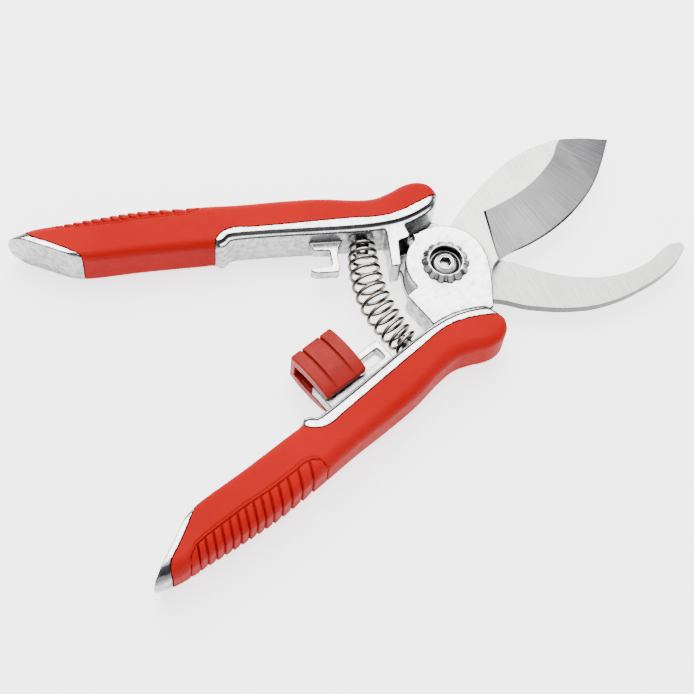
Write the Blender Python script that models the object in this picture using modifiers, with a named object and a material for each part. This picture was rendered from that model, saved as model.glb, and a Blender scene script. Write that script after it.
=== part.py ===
"""Bypass pruning shears with cast handles, soft grips, a toothed pivot nut and a sliding latch.

Metres, +Z up. The shears lie on their back: the pivot axis is the Z axis, z = 0 is the plane that
they rest on, and +X runs along the middle of the open jaws. The upper handle lies at +Y and carries
the counter blade. The lower handle lies at -Y and carries the cutting blade, the pivot and the latch.
"""

import math

import bmesh
import bpy
from mathutils import Matrix, Vector

MM = 0.001
GAP = 0.3  # clearance between neighbouring pieces
HALF = 7.8  # half the thickness of a handle; the middle plane lies this far above the rest plane
GRIP_WALL = 2.3  # grip thickness over the front and the back of a handle
EDGE_ROUND = 3.0
RIM_ROUND = 1.2
BOSS_END, BOSS_END_DROP = 6.0, 4.2  # a handle thins by this much on each side over its boss end
BARE_START = -62.0  # the inner rim is bare metal from here to the boss
SECTION_STEPS, CORNER_STEPS = 3, 3
PAST_FACE = 2.0  # how far a cutter stands out of what it cuts
THROUGH = 9.0  # a cutter that reaches this far from the middle plane is out of the handles
SLIP = 0.25  # clearance of a pin in its hole

# Heights from the middle plane
BLADE_FACE = 0.15  # half the gap between the two blades
BLADE_BACK = 3.1
EDGE_LAND = 0.3  # thickness left at the cutting edge
PLATE_IN = 3.4
PLATE_OUT = 6.7
BLOCK_DEPTH = 3.1
LUG_LOW = -4.0
HOOK_HALF = 2.1
LOOP_HALF = 2.5

# Cutting bevel
TIP_START, TIP_LENGTH, TIP_THINNING = 56.0, 16.0, 2.2  # the blade thins by this much over its tip
BEVEL_STEPS = 26
PAST_HIGH, PAST_LOW = 0.06, 0.12  # shares of the bevel by which its cutter runs past it
CUT_ABOVE = 6.0

# Pivot
PLATE_RADIUS, STEP_RADIUS, TANG_RADIUS = 13.2, 12.2, 11.8
HOLE_RADIUS = 5.5
BOSS_HOLE = 6.5
RECESS_FLOOR = -5.2
BOLT_RADIUS = 4.0
BOLT_HEAD = 7.2
BOLT_HEAD_TOP = -5.5
BOLT_TOP = 5.0
BOLT_THREAD = 2.2
BORE_LOW = -2.0
CHAMFER = 0.5
BUSH_OUT, BUSH_LOW = 5.2, -5.0
WASHER_IN, WASHER_OUT = 4.6, 6.1
WASHER_LOW, WASHER_TOP = 3.5, 3.9
NUT_HUB = 6.2
NUT_TIP = 7.6
NUT_RING = 5.6
NUT_RECESS = 4.9
NUT_LOW = 4.2
NUT_FLOOR = 5.4
NUT_FLANGE = 6.9
NUT_TOP = 8.4
NUT_LIP_IN, NUT_LIP_UP = 0.6, 0.5
NUT_TEETH = 14
FLUTE_RADIUS, FLUTE_LENGTH = 1.15, 6.0
FLUTE_OUT, FLUTE_UP = 0.55, 0.4
FLUTE_LEAN = math.radians(-40)
SCREW_HEAD = 4.3
SCREW_LOW, SCREW_END = 5.6, -1.4
SCREW_TOP = 7.2
SCREW_SKIRT = 0.5  # height of the head's upright side
DOME_STEPS = 6
HEX_ACROSS, HEX_FLOOR = 3.4, 5.4

# Latch, along and across the lower handle
SLOPE = math.radians(16.3)
LOOP_START, LOOP_END = -57.5, -32.1
LOOP_LOW, LOOP_TOP = -15.2, -5.05
LOOP_ROUND = 0.6
WINDOW = (-55.0, -34.0, -11.1, -7.3)
KNOB_START, KNOB_END = -57.6, -41.8
KNOB_LOW, KNOB_TOP = -11.3, 5.6
KNOB_HALF = 7.0
KNOB_ROUND = 1.3
SLOT_HALF = 2.9
SLOT_TOP = 3.5
GROOVES = (-53.2, -46.0)
GROOVE_HALF, GROOVE_DEPTH = 0.3, 0.5
PIN_AT = (-50.5, -9.2)
PIN_RADIUS = 1.45
PIN_HALF = 4.7

# Return spring
WIRE = 0.85
COILS = 12
COIL_POINTS = 12
SPRING_TOP = (-19.0, 18.6)
SPRING_LOW = (-20.7, -19.2)
SPRING_BOW = 3.9
COIL_END, COIL_MIDDLE = 3.55, 4.8
BARREL = 0.7  # the lower, the fuller the spring's barrel shape
CLOSE_ENDS = 0.03
PEG_RADIUS, PEG_TAPER = 2.3, 0.4
PEG_LENGTH, PEG_ROOT = 4.0, 2.4

# Outlines in millimetres, for the upper handle. A third value marks a corner.
# Handle sections from the butt to the boss: a point on the outer side and one on the inner side
SECTIONS = [
    ((-119.8, 60.0), (-103.6, 45.0)), ((-112.9, 60.2), (-99.9, 43.0)), ((-103.7, 58.6), (-94.5, 41.3)),
    ((-91.6, 56.3), (-85.2, 38.9)), ((-79.5, 53.7), (-75.2, 36.0)), ((-68.4, 50.2), (-66.5, 33.4)),
    ((-64.6, 48.9), (-63.3, 32.5)), ((-62.8, 48.3), (-61.4, 31.1)), ((-60.8, 47.6), (-59.3, 31.2)),
    ((-58.4, 46.8), (-56.9, 32.0)), ((-49.4, 43.7), (-47.0, 29.1)), ((-37.4, 40.1), (-34.5, 24.9)),
    ((-26.4, 36.4), (-24.0, 21.3)), ((-16.7, 32.0), (-16.5, 18.9)), ((-10.5, 30.0), (-12.0, 17.8)),
    ((-5.0, 30.0), (-7.5, 17.1)), ((-0.6, 30.6), (-3.0, 17.1)), ((3.0, 30.4), (0.5, 17.6)),
    ((5.9, 29.1), (3.4, 18.3)), ((7.9, 27.0), (5.4, 19.4)), ((8.7, 24.6), (6.9, 20.8)),
    ((8.7, 23.4), (7.9, 21.9)),
]
BUTT_EDGE = [
    (-113.9, 62.0, 1), (-113.7, 57.9), (-108.6, 52.3), (-103.8, 47.4), (-101.3, 43.9), (-101.0, 40.0, 1),
    (-125.0, 40.0, 1), (-125.0, 62.0, 1),
]
UPPER_RIM = [
    (10.0, 23.5, 1), (0.0, 22.2), (-6.0, 21.6), (-12.0, 22.4), (-20.0, 25.0), (-50.0, 33.9),
    (-56.0, 35.9), (-60.2, 35.2), (-62.6, 32.6), (-63.0, 28.0, 1), (-63.0, 8.0, 1), (10.0, 8.0, 1),
]
LOWER_RIM = [
    (10.0, 23.5, 1), (5.0, 22.0), (0.0, 20.7), (-5.0, 20.1), (-10.0, 20.4), (-20.0, 23.6), (-50.0, 34.0),
    (-55.5, 35.8), (-60.0, 35.0), (-62.6, 32.6), (-63.0, 28.0, 1), (-63.0, 8.0, 1), (10.0, 8.0, 1),
]
CORE = [
    (4.2, 20.3, 1), (4.2, 24.8), (2.3, 27.0), (-1.0, 27.8), (-8.0, 26.6), (-14.0, 27.3), (-30.0, 33.0),
    (-50.0, 39.0), (-80.0, 49.0), (-100.0, 53.1), (-113.0, 55.7, 1), (-104.6, 47.9, 1), (-64.0, 36.0),
    (-56.0, 33.2), (-20.0, 21.6), (-12.0, 19.6), (-4.0, 19.2),
]
STOP_LUG = [
    (-12.0, 20.5, 1), (-12.0, 17.0, 1), (-15.7, 5.1, 1), (-12.8, 4.6, 1), (-9.8, 12.6, 1), (-6.4, 12.6, 1),
    (-5.8, 13.2, 1), (-5.8, 19.5, 1),
]
# In the upper handle's own slope: along it, and out from the pivot towards it
HOOK = [
    (-41.0, 15.5, 1), (-39.6, 12.6), (-38.9, 11.0, 1), (-34.0, 10.7, 1), (-34.0, 5.3, 1), (-40.3, 5.1, 1),
    (-41.0, 4.2, 1), (-39.2, 3.1, 1), (-32.4, 2.9, 1), (-31.9, 3.5, 1), (-31.3, 10.7), (-30.2, 12.8),
    (-28.6, 15.5, 1),
]
BLOCK = [
    (-11.9, 4.4, 1), (-15.8, 5.8, 1), (-12.9, 16.3, 1), (-12.7, 19.0, 1), (-8.0, 18.4, 1), (-9.9, 7.6, 1),
]
PLATE_SIDE = [(13.0, -3.0), (10.6, -11.0), (8.3, -16.4, 1), (7.0, -19.4, 1), (-12.0, -18.7, 1)]
STOP_CORNER = (-4.9, 13.1, 1)
REAR_PLATE_SIDE = [(-12.0, 19.6, 1), (5.0, 20.4, 1), (7.4, 18.2, 1), (10.8, 7.8)]
CUT_SPINE = [
    (10.0, 14.0), (20.0, 20.1), (30.0, 24.9), (40.0, 28.1), (50.0, 28.9), (60.0, 27.3), (71.2, 23.5, 1),
]
CUT_EDGE = [(65.4, 16.7), (60.4, 11.6), (50.2, 4.8), (40.1, 0.65), (30.1, -1.5), (20.1, -2.4)]
CUT_HEEL = [(17.9, -3.3), (14.7, -5.1), (11.8, -9.6), (8.6, -14.6, 1), (-7.6, -14.6, 1)]
BEVEL_LINE = [
    (21.3, 13.6), (25.0, 13.9), (30.0, 14.6), (35.0, 15.7), (40.0, 17.4), (45.0, 19.8), (50.0, 23.0),
    (56.0, 28.4), (64.0, 27.2), (71.6, 25.0),
]
BEVEL_EDGE = [
    (17.8, -3.7), (23.1, -2.2), (29.1, -1.6), (36.1, -0.35), (44.1, 2.15), (52.2, 5.85), (58.4, 9.9),
    (63.4, 14.5), (68.4, 19.9), (72.1, 23.8),
]
COUNTER_INNER = [
    (12.0, 1.0), (17.0, -1.6), (22.5, -5.6), (30.0, -12.0), (40.0, -18.1), (50.0, -21.4), (60.0, -21.6),
    (73.4, -18.6),
]
COUNTER_OUTER = [
    (75.2, -20.3), (73.0, -22.7), (65.0, -26.6), (55.0, -28.6), (45.0, -29.1), (35.0, -27.5),
    (20.0, -20.8), (11.0, -14.6),
]
COUNTER_TANG = [(-5.1, 14.6, 1), (7.4, 14.6, 1), (10.2, 8.4)]
LOWER_DOWELS = [(-5.8, -10.8), (5.4, -10.8)]
UPPER_DOWELS = [(-2.8, 11.7), (5.2, 11.2)]
DOWEL_RADIUS = 1.75
DOWEL_LENGTH = 5.1
DOWEL_FLOOR = 5.9  # how far from the middle plane the dowel holes end

for leftover in list(bpy.data.objects):
    bpy.data.objects.remove(leftover, do_unlink=True)


def new_collection(name):
    made = bpy.data.collections.new(name)
    bpy.context.scene.collection.children.link(made)
    return made


PARTS = new_collection("pruning_shears")
CUTTERS = new_collection("cutters")


def material(name, colour, roughness, metallic):
    made = bpy.data.materials.new(name)
    made.use_nodes = True
    shader = made.node_tree.nodes["Principled BSDF"]
    shader.inputs["Base Color"].default_value = (*colour, 1.0)
    shader.inputs["Roughness"].default_value = roughness
    shader.inputs["Metallic"].default_value = metallic
    made.diffuse_color = (*colour, 1.0)
    return made


CASTING = material("cast_aluminium", (0.82, 0.83, 0.84), 0.28, 1.0)
GRIP = material("red_grip", (0.68, 0.055, 0.04), 0.48, 0.0)
KNOB = material("red_plastic", (0.66, 0.075, 0.06), 0.4, 0.0)
BLADE = material("blade_steel", (0.72, 0.72, 0.71), 0.3, 1.0)
STEEL = material("bright_steel", (0.62, 0.62, 0.61), 0.25, 1.0)
BRONZE = material("bronze", (0.6, 0.42, 0.2), 0.35, 1.0)


def add(name, mesh, collection=PARTS):
    made = bpy.data.objects.new(name, mesh)
    collection.objects.link(made)
    if collection is CUTTERS:
        made.hide_render = True
        made.display_type = "WIRE"
    return made


def finish(obj, finish_material, sharp=35):
    obj.data.materials.clear()
    obj.data.materials.append(finish_material)
    obj.data.shade_smooth()
    obj.data.set_sharp_from_angle(angle=math.radians(sharp))
    return obj


def boolean(obj, other, operation="DIFFERENCE"):
    modifier = obj.modifiers.new(other.name, "BOOLEAN")
    modifier.operation = operation
    modifier.object = other
    return modifier


def mirrored(points):
    """The outline on the other side of the X axis."""
    return [(point[0], -point[1], *point[2:]) for point in points]


def on_side(points, sign):
    """An outline given for the upper handle, for the handle on this side."""
    return points if sign > 0 else mirrored(points)


def from_slope(points, side):
    """Points given along a handle and out from the pivot, as points of the plan."""
    along = Vector((math.cos(SLOPE), -side * math.sin(SLOPE)))
    out = Vector((math.sin(SLOPE), side * math.cos(SLOPE)))
    placed = []
    for u, n, *corner in points:
        place = along * u + out * n
        placed.append((place.x, place.y, *corner))
    return placed


def arc(radius, start, end, steps):
    """Points on a circle round the pivot, from one angle to another in degrees."""
    angles = [math.radians(start + (end - start) * i / steps) for i in range(steps + 1)]
    return [(radius * math.cos(a), radius * math.sin(a)) for a in angles]


def plan_curve(name, points, low, high, detail):
    """A filled outline, standing between two heights from the middle plane."""
    curve = bpy.data.curves.new(name, "CURVE")
    curve.dimensions = "2D"
    curve.fill_mode = "BOTH"
    curve.resolution_u = detail
    curve.extrude = (high - low) / 2 * MM
    spline = curve.splines.new("BEZIER")
    spline.bezier_points.add(len(points) - 1)
    for knot, point in zip(spline.bezier_points, points):
        knot.co = (point[0] * MM, point[1] * MM, 0)
        kind = "VECTOR" if len(point) > 2 else "AUTO"
        knot.handle_left_type = kind
        knot.handle_right_type = kind
    spline.use_cyclic_u = True
    return curve


def meshed(curve, matrix):
    """A curve as a closed mesh in world space, with one flat face at each cap."""
    guide = bpy.data.objects.new(curve.name, curve)
    CUTTERS.objects.link(guide)
    guide.matrix_world = matrix
    bpy.context.view_layer.update()
    graph = bpy.context.evaluated_depsgraph_get()
    mesh = bpy.data.meshes.new_from_object(guide.evaluated_get(graph))
    mesh.transform(guide.matrix_world)
    bpy.data.objects.remove(guide, do_unlink=True)
    shape = bmesh.new()
    shape.from_mesh(mesh)
    bmesh.ops.remove_doubles(shape, verts=shape.verts, dist=1e-6)
    flat = math.radians(0.5)
    bmesh.ops.dissolve_limit(shape, angle_limit=flat, verts=shape.verts, edges=shape.edges)
    bmesh.ops.recalc_face_normals(shape, faces=shape.faces)
    shape.to_mesh(mesh)
    shape.free()
    return mesh


def prism(name, points, low, high, collection=PARTS, detail=4):
    """An extruded outline. Heights are measured from the middle plane."""
    curve = plan_curve(name, points, low, high, detail)
    middle = (HALF + (low + high) / 2) * MM
    return add(name, meshed(curve, Matrix.Translation((0, 0, middle))), collection)


def grown_prism(name, points, low, high, by):
    """A cutter a little larger all round than the prism of the same outline."""
    made = prism(name, points, low - by, high + by, CUTTERS)
    shape = bmesh.new()
    shape.from_mesh(made.data)
    moves = {}
    for vert in shape.verts:
        walls = [face.normal for face in vert.link_faces if abs(face.normal.z) < 0.5]
        first, second = walls[0], walls[-1]
        moves[vert] = (first + second) * (by * MM / (1 + first.dot(second)))
    for vert, move in moves.items():
        vert.co += move
    shape.to_mesh(made.data)
    shape.free()
    return made


def turned(name, profile, collection=PARTS, steps=32):
    """A profile of (radius, height from the middle plane), top to bottom, turned about the pivot."""
    shape = bmesh.new()
    points = [shape.verts.new((radius * MM, 0, (HALF + height) * MM)) for radius, height in profile]
    closed = profile[0][0] > 0 and profile[-1][0] > 0
    ends = points[1:] + points[:1] if closed else points[1:]
    for first, second in zip(points, ends):
        shape.edges.new((first, second))
    mesh = bpy.data.meshes.new(name)
    shape.to_mesh(mesh)
    shape.free()
    made = add(name, mesh, collection)
    screw = made.modifiers.new("turn", "SCREW")
    screw.steps = steps
    screw.render_steps = steps
    screw.use_merge_vertices = True
    screw.merge_threshold = 1e-6
    return made


def cylinder(name, place, radius, low, high, collection=PARTS, segments=24):
    shape = bmesh.new()
    middle = Matrix.Translation((place[0] * MM, place[1] * MM, (HALF + (low + high) / 2) * MM))
    bmesh.ops.create_cone(
        shape, cap_ends=True, segments=segments, radius1=radius * MM, radius2=radius * MM,
        depth=(high - low) * MM, matrix=middle,
    )
    mesh = bpy.data.meshes.new(name)
    shape.to_mesh(mesh)
    shape.free()
    return add(name, mesh, collection)


def slope_box(name, u_range, n_range, z_range, collection=CUTTERS):
    """A box along the lower handle: u runs towards the pivot, n away from the lower handle."""
    shape = bmesh.new()
    sides = [(high - low) * MM for low, high in (u_range, n_range, z_range)]
    centre = [(low + high) / 2 * MM for low, high in (u_range, n_range, z_range)]
    bmesh.ops.create_cube(shape, size=1.0)
    bmesh.ops.scale(shape, vec=sides, verts=shape.verts)
    bmesh.ops.translate(shape, vec=centre, verts=shape.verts)
    mesh = bpy.data.meshes.new(name)
    shape.to_mesh(mesh)
    shape.free()
    mesh.transform(Matrix.Translation((0, 0, HALF * MM)) @ Matrix.Rotation(SLOPE, 4, "Z"))
    return add(name, mesh, collection)


def rounded(obj, width, segments=2, angle=50):
    bevel = obj.modifiers.new("edges", "BEVEL")
    bevel.width = width * MM
    bevel.segments = segments
    bevel.limit_method = "ANGLE"
    bevel.angle_limit = math.radians(angle)
    return bevel


def smooth_line(points, steps):
    """An open smooth line through the given points, with so many steps between two of them."""
    ends = [Vector(point) for point in points]
    ends = [2 * ends[0] - ends[1]] + ends + [2 * ends[-1] - ends[-2]]
    line = []
    for before, first, second, after in zip(ends, ends[1:], ends[2:], ends[3:]):
        for step in range(steps):
            t = step / steps
            bend = 2 * before - 5 * first + 4 * second - after
            twist = 3 * (first - second) + after - before
            line.append(first + ((second - before) * t + bend * t * t + twist * t ** 3) / 2)
    return line + [ends[-2]]


def sampled(points, count):
    """Evenly spaced points along an open smooth line through the given ones."""
    line = smooth_line(points, 12)
    lengths = [0.0]
    for first, second in zip(line, line[1:]):
        lengths.append(lengths[-1] + (second - first).length)
    spaced = []
    index = 0
    for step in range(count):
        target = lengths[-1] * step / (count - 1)
        while index < len(line) - 2 and lengths[index + 1] < target:
            index += 1
        share = (target - lengths[index]) / (lengths[index + 1] - lengths[index])
        spaced.append(line[index].lerp(line[index + 1], share))
    return spaced


def half_height(left):
    """Half thickness of a handle, so far from its boss end, which is rounded like a fingertip."""
    share = 1 - min(1.0, left / BOSS_END)
    return HALF - BOSS_END_DROP * (1 - math.sqrt(1 - share * share))


def section_ring(outer, inner, top, inner_round):
    """One rounded rectangle across a handle, as points in millimetres from the middle plane."""
    across = inner - outer
    width = across.length
    ring = []
    corners = ((0, 1, EDGE_ROUND), (1, 1, inner_round), (1, -1, inner_round), (0, -1, EDGE_ROUND))
    for number, (side, upward, most) in enumerate(corners):
        radius = min(most, width * 0.4)
        centre_along = radius if side == 0 else width - radius
        centre_up = upward * (top - radius)
        for step in range(CORNER_STEPS + 1):
            angle = math.pi - math.pi / 2 * (number + step / CORNER_STEPS)
            along = (centre_along + radius * math.cos(angle)) / width
            ring.append((*(outer + across * along), centre_up + radius * math.sin(angle)))
    return ring


def handle_form(name, sign):
    """The whole outer form of a handle, lofted through its sections: crisper along the bare rim."""
    count = SECTION_STEPS * (len(SECTIONS) - 1) + 1
    outer_line = smooth_line([outer for outer, inner in SECTIONS], SECTION_STEPS)
    inner_line = smooth_line([inner for outer, inner in SECTIONS], SECTION_STEPS)
    left = [0.0]
    for first, second in zip(outer_line[::-1], outer_line[-2::-1]):
        left.append(left[-1] + (second - first).length)
    left.reverse()
    shape = bmesh.new()
    rings = []
    for step in range(count):
        outer, inner = outer_line[step], inner_line[step]
        inner_round = RIM_ROUND if inner.x > BARE_START else EDGE_ROUND
        ring = section_ring(outer, inner, half_height(left[step]), inner_round)
        rings.append([shape.verts.new((x * MM, sign * y * MM, (HALF + z) * MM)) for x, y, z in ring])
    for first, second in zip(rings, rings[1:]):
        for i in range(len(first)):
            j = (i + 1) % len(first)
            shape.faces.new((first[i], first[j], second[j], second[i]))
    shape.faces.new(rings[0])
    shape.faces.new(rings[-1])
    bmesh.ops.recalc_face_normals(shape, faces=shape.faces)
    mesh = bpy.data.meshes.new(name)
    shape.to_mesh(mesh)
    shape.free()
    return add(name, mesh)


def handle(name, sign, rim_edge):
    """The casting: bare rim and butt at full thickness, joined by a core inside the grip."""
    casting = handle_form(name, sign)
    low, high = -HALF - PAST_FACE, HALF + PAST_FACE
    bare = prism(name + "_bare", on_side(rim_edge, sign), low, high, CUTTERS)
    butt = prism(name + "_butt", on_side(BUTT_EDGE, sign), low, high, CUTTERS)
    join_meshes(bare, butt)
    boolean(casting, bare, "INTERSECT")
    core = prism(name + "_core", on_side(CORE, sign), -HALF + GRIP_WALL, HALF - GRIP_WALL, CUTTERS)
    boolean(casting, core, "UNION")
    return finish(casting, CASTING)


def join_meshes(obj, other):
    shape = bmesh.new()
    shape.from_mesh(obj.data)
    shape.from_mesh(other.data)
    shape.to_mesh(obj.data)
    shape.free()
    bpy.data.objects.remove(other, do_unlink=True)


def grip(name, sign, rim_edge):
    """The moulded sleeve: the handle's form less the casting, with a small gap."""
    sleeve = handle_form(name, sign)
    low, high = -HALF - PAST_FACE, HALF + PAST_FACE
    boolean(sleeve, grown_prism(name + "_rim", on_side(rim_edge, sign), low, high, GAP))
    boolean(sleeve, grown_prism(name + "_butt", on_side(BUTT_EDGE, sign), low, high, GAP))
    core_low, core_high = -HALF + GRIP_WALL, HALF - GRIP_WALL
    boolean(sleeve, grown_prism(name + "_core", on_side(CORE, sign), core_low, core_high, GAP))
    return finish(sleeve, GRIP)


def spring_point(t):
    """A point of the spring's curved middle line, and its direction there, at t from 0 to 1."""
    top, low = Vector(SPRING_TOP), Vector(SPRING_LOW)
    side = (low - top).normalized().orthogonal()
    point = top.lerp(low, t) - side * (4 * SPRING_BOW * t * (1 - t))
    heading = (low - top) - side * (4 * SPRING_BOW * (1 - 2 * t))
    return point, heading.normalized()


def spring_peg(name, t):
    """A cast peg that stands inside one end of the spring."""
    point, heading = spring_point(t)
    inward = heading if t < 0.5 else -heading
    point = point + inward * (PEG_LENGTH - PEG_ROOT) / 2
    shape = bmesh.new()
    bmesh.ops.create_cone(
        shape, cap_ends=True, segments=20, radius1=PEG_RADIUS * MM, radius2=(PEG_RADIUS - PEG_TAPER) * MM,
        depth=(PEG_LENGTH + PEG_ROOT) * MM,
    )
    mesh = bpy.data.meshes.new(name)
    shape.to_mesh(mesh)
    shape.free()
    facing = Vector((inward.x, inward.y, 0)).to_track_quat("Z", "Y").to_matrix().to_4x4()
    mesh.transform(Matrix.Translation((point.x * MM, point.y * MM, HALF * MM)) @ facing)
    return add(name, mesh, CUTTERS)


def lower_handle():
    """Casting with the front boss plate, the stop block, the latch loop and a spring peg."""
    casting = handle("lower_handle", -1, LOWER_RIM)
    outline = arc(STEP_RADIUS, 212, 116, 14) + [STOP_CORNER] + arc(PLATE_RADIUS, 106, 0, 16) + PLATE_SIDE
    boolean(casting, prism("boss_plate", outline, PLATE_IN, PLATE_OUT, CUTTERS), "UNION")
    block = prism("stop_block", mirrored(BLOCK), -BLOCK_DEPTH, PLATE_OUT, CUTTERS)
    boolean(casting, block, "UNION")
    z_range = (-LOOP_HALF, LOOP_HALF)
    loop = slope_box("loop", (LOOP_START, LOOP_END), (LOOP_LOW, LOOP_TOP), z_range)
    rounded(loop, LOOP_ROUND, angle=80)
    boolean(casting, loop, "UNION")
    z_range = (-LOOP_HALF - PAST_FACE, LOOP_HALF + PAST_FACE)
    window = slope_box("loop_window", WINDOW[:2], WINDOW[2:], z_range)
    boolean(casting, window)
    boolean(casting, spring_peg("lower_peg", 1.0), "UNION")
    boolean(casting, cylinder("boss_hole", (0, 0), BOSS_HOLE, PLATE_IN - 1, THROUGH, CUTTERS, 40))
    for number, place in enumerate(LOWER_DOWELS):
        boolean(casting, dowel_hole(f"lower_dowel_hole_{number}", place, PLATE_IN - 1, DOWEL_FLOOR))
    return casting


def upper_handle():
    """Casting with the rear boss plate, the stop lug, the latch hook and a spring peg."""
    casting = handle("upper_handle", 1, UPPER_RIM)
    outline = REAR_PLATE_SIDE + arc(PLATE_RADIUS, 24, -100, 14) + arc(STEP_RADIUS, -108, -206, 14)
    boolean(casting, prism("rear_plate", outline, -PLATE_OUT, -PLATE_IN, CUTTERS), "UNION")
    boolean(casting, prism("stop_lug", STOP_LUG, LUG_LOW, PLATE_OUT, CUTTERS), "UNION")
    hook = prism("hook", from_slope(HOOK, 1), -HOOK_HALF, HOOK_HALF, CUTTERS)
    boolean(casting, hook, "UNION")
    boolean(casting, spring_peg("upper_peg", 0.0), "UNION")
    hole = cylinder("rear_hole", (0, 0), HOLE_RADIUS, -THROUGH, -PLATE_IN + 1, CUTTERS, 40)
    recess = cylinder("rear_recess", (0, 0), BOLT_HEAD + GAP, -THROUGH, RECESS_FLOOR, CUTTERS, 40)
    boolean(casting, hole)
    boolean(casting, recess)
    for number, place in enumerate(UPPER_DOWELS):
        boolean(casting, dowel_hole(f"upper_dowel_hole_{number}", place, -DOWEL_FLOOR, -PLATE_IN + 1))
    return casting


def dowel_hole(name, place, low, high):
    return cylinder(name, place, DOWEL_RADIUS + SLIP, low, high, CUTTERS)


def bevel_cutter():
    """The metal ground away: a ruled face from the bevel line down to the cutting edge."""
    high_line = sampled(BEVEL_LINE, BEVEL_STEPS)
    low_line = sampled(BEVEL_EDGE, BEVEL_STEPS)
    low_z = BLADE_FACE + EDGE_LAND
    shape = bmesh.new()
    rows = []
    for high, low in zip(high_line, low_line):
        high_z = BLADE_BACK - TIP_THINNING * max(0.0, high.x - TIP_START) / TIP_LENGTH
        across = low - high
        drop = low_z - high_z
        start, start_z = high - across * PAST_HIGH, high_z - drop * PAST_HIGH
        end, end_z = low + across * PAST_LOW, low_z + drop * PAST_LOW
        corners = ((start, start_z), (end, end_z), (end, CUT_ABOVE), (start, CUT_ABOVE))
        rows.append([shape.verts.new((p.x * MM, p.y * MM, (HALF + z) * MM)) for p, z in corners])
    for first, second in zip(rows, rows[1:]):
        for i in range(4):
            j = (i + 1) % 4
            shape.faces.new((first[i], first[j], second[j], second[i]))
    shape.faces.new(rows[0])
    shape.faces.new(rows[-1][::-1])
    bmesh.ops.recalc_face_normals(shape, faces=shape.faces)
    if shape.calc_volume(signed=True) < 0:
        bmesh.ops.reverse_faces(shape, faces=shape.faces)
    mesh = bpy.data.meshes.new("bevel_cutter")
    shape.to_mesh(mesh)
    shape.free()
    return add("bevel_cutter", mesh, CUTTERS)


def cutting_blade():
    outline = CUT_SPINE + CUT_EDGE + CUT_HEEL + arc(TANG_RADIUS, 212, 62, 12)
    blade = prism("cutting_blade", outline, BLADE_FACE, BLADE_BACK, detail=5)
    pivot_hole(blade)
    for number, place in enumerate(LOWER_DOWELS):
        boolean(blade, dowel_hole(f"cutting_dowel_hole_{number}", place, BLADE_FACE - 1, BLADE_BACK + 1))
    boolean(blade, bevel_cutter())
    return finish(blade, BLADE)


def counter_blade():
    outline = COUNTER_TANG + COUNTER_INNER + COUNTER_OUTER + arc(TANG_RADIUS, -82, -236, 14)
    blade = prism("counter_blade", outline, -BLADE_BACK, -BLADE_FACE, detail=5)
    pivot_hole(blade)
    for number, place in enumerate(UPPER_DOWELS):
        boolean(blade, dowel_hole(f"counter_dowel_hole_{number}", place, -BLADE_BACK - 1, 1 - BLADE_FACE))
    return finish(blade, BLADE)


def pivot_hole(blade):
    reach = BLADE_BACK + 1
    boolean(blade, cylinder(blade.name + "_hole", (0, 0), HOLE_RADIUS, -reach, reach, CUTTERS, 40))


def dowels():
    """Steel dowels that key each blade to its boss plate."""
    for number, place in enumerate(LOWER_DOWELS, start=1):
        low = BLADE_FACE + GAP
        pin = cylinder(f"cutting_blade_dowel_{number}", place, DOWEL_RADIUS, low, low + DOWEL_LENGTH)
        finish(pin, STEEL)
    for number, place in enumerate(UPPER_DOWELS, start=1):
        high = -BLADE_FACE - GAP
        pin = cylinder(f"counter_blade_dowel_{number}", place, DOWEL_RADIUS, high - DOWEL_LENGTH, high)
        finish(pin, STEEL)


def pivot_bolt():
    """Flat head behind, plain shank, and a threaded bore in front for the lock screw."""
    profile = [
        (BOLT_THREAD, BOLT_TOP), (BOLT_RADIUS, BOLT_TOP), (BOLT_RADIUS, BOLT_HEAD_TOP),
        (BOLT_HEAD, BOLT_HEAD_TOP), (BOLT_HEAD, -HALF + CHAMFER), (BOLT_HEAD - CHAMFER, -HALF), (0, -HALF),
    ]
    profile = [(0, BORE_LOW), (BOLT_THREAD, BORE_LOW)] + profile
    return finish(turned("pivot_bolt", profile), STEEL)


def pivot_bush():
    inner = BOLT_RADIUS + GAP
    profile = [(inner, BLADE_BACK), (BUSH_OUT, BLADE_BACK), (BUSH_OUT, BUSH_LOW), (inner, BUSH_LOW)]
    return finish(turned("pivot_bush", profile), BRONZE)


def spring_washer():
    profile = [
        (WASHER_IN, WASHER_TOP), (WASHER_OUT, WASHER_TOP), (WASHER_OUT, WASHER_LOW), (WASHER_IN, WASHER_LOW),
    ]
    return finish(turned("spring_washer", profile), STEEL)


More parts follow.
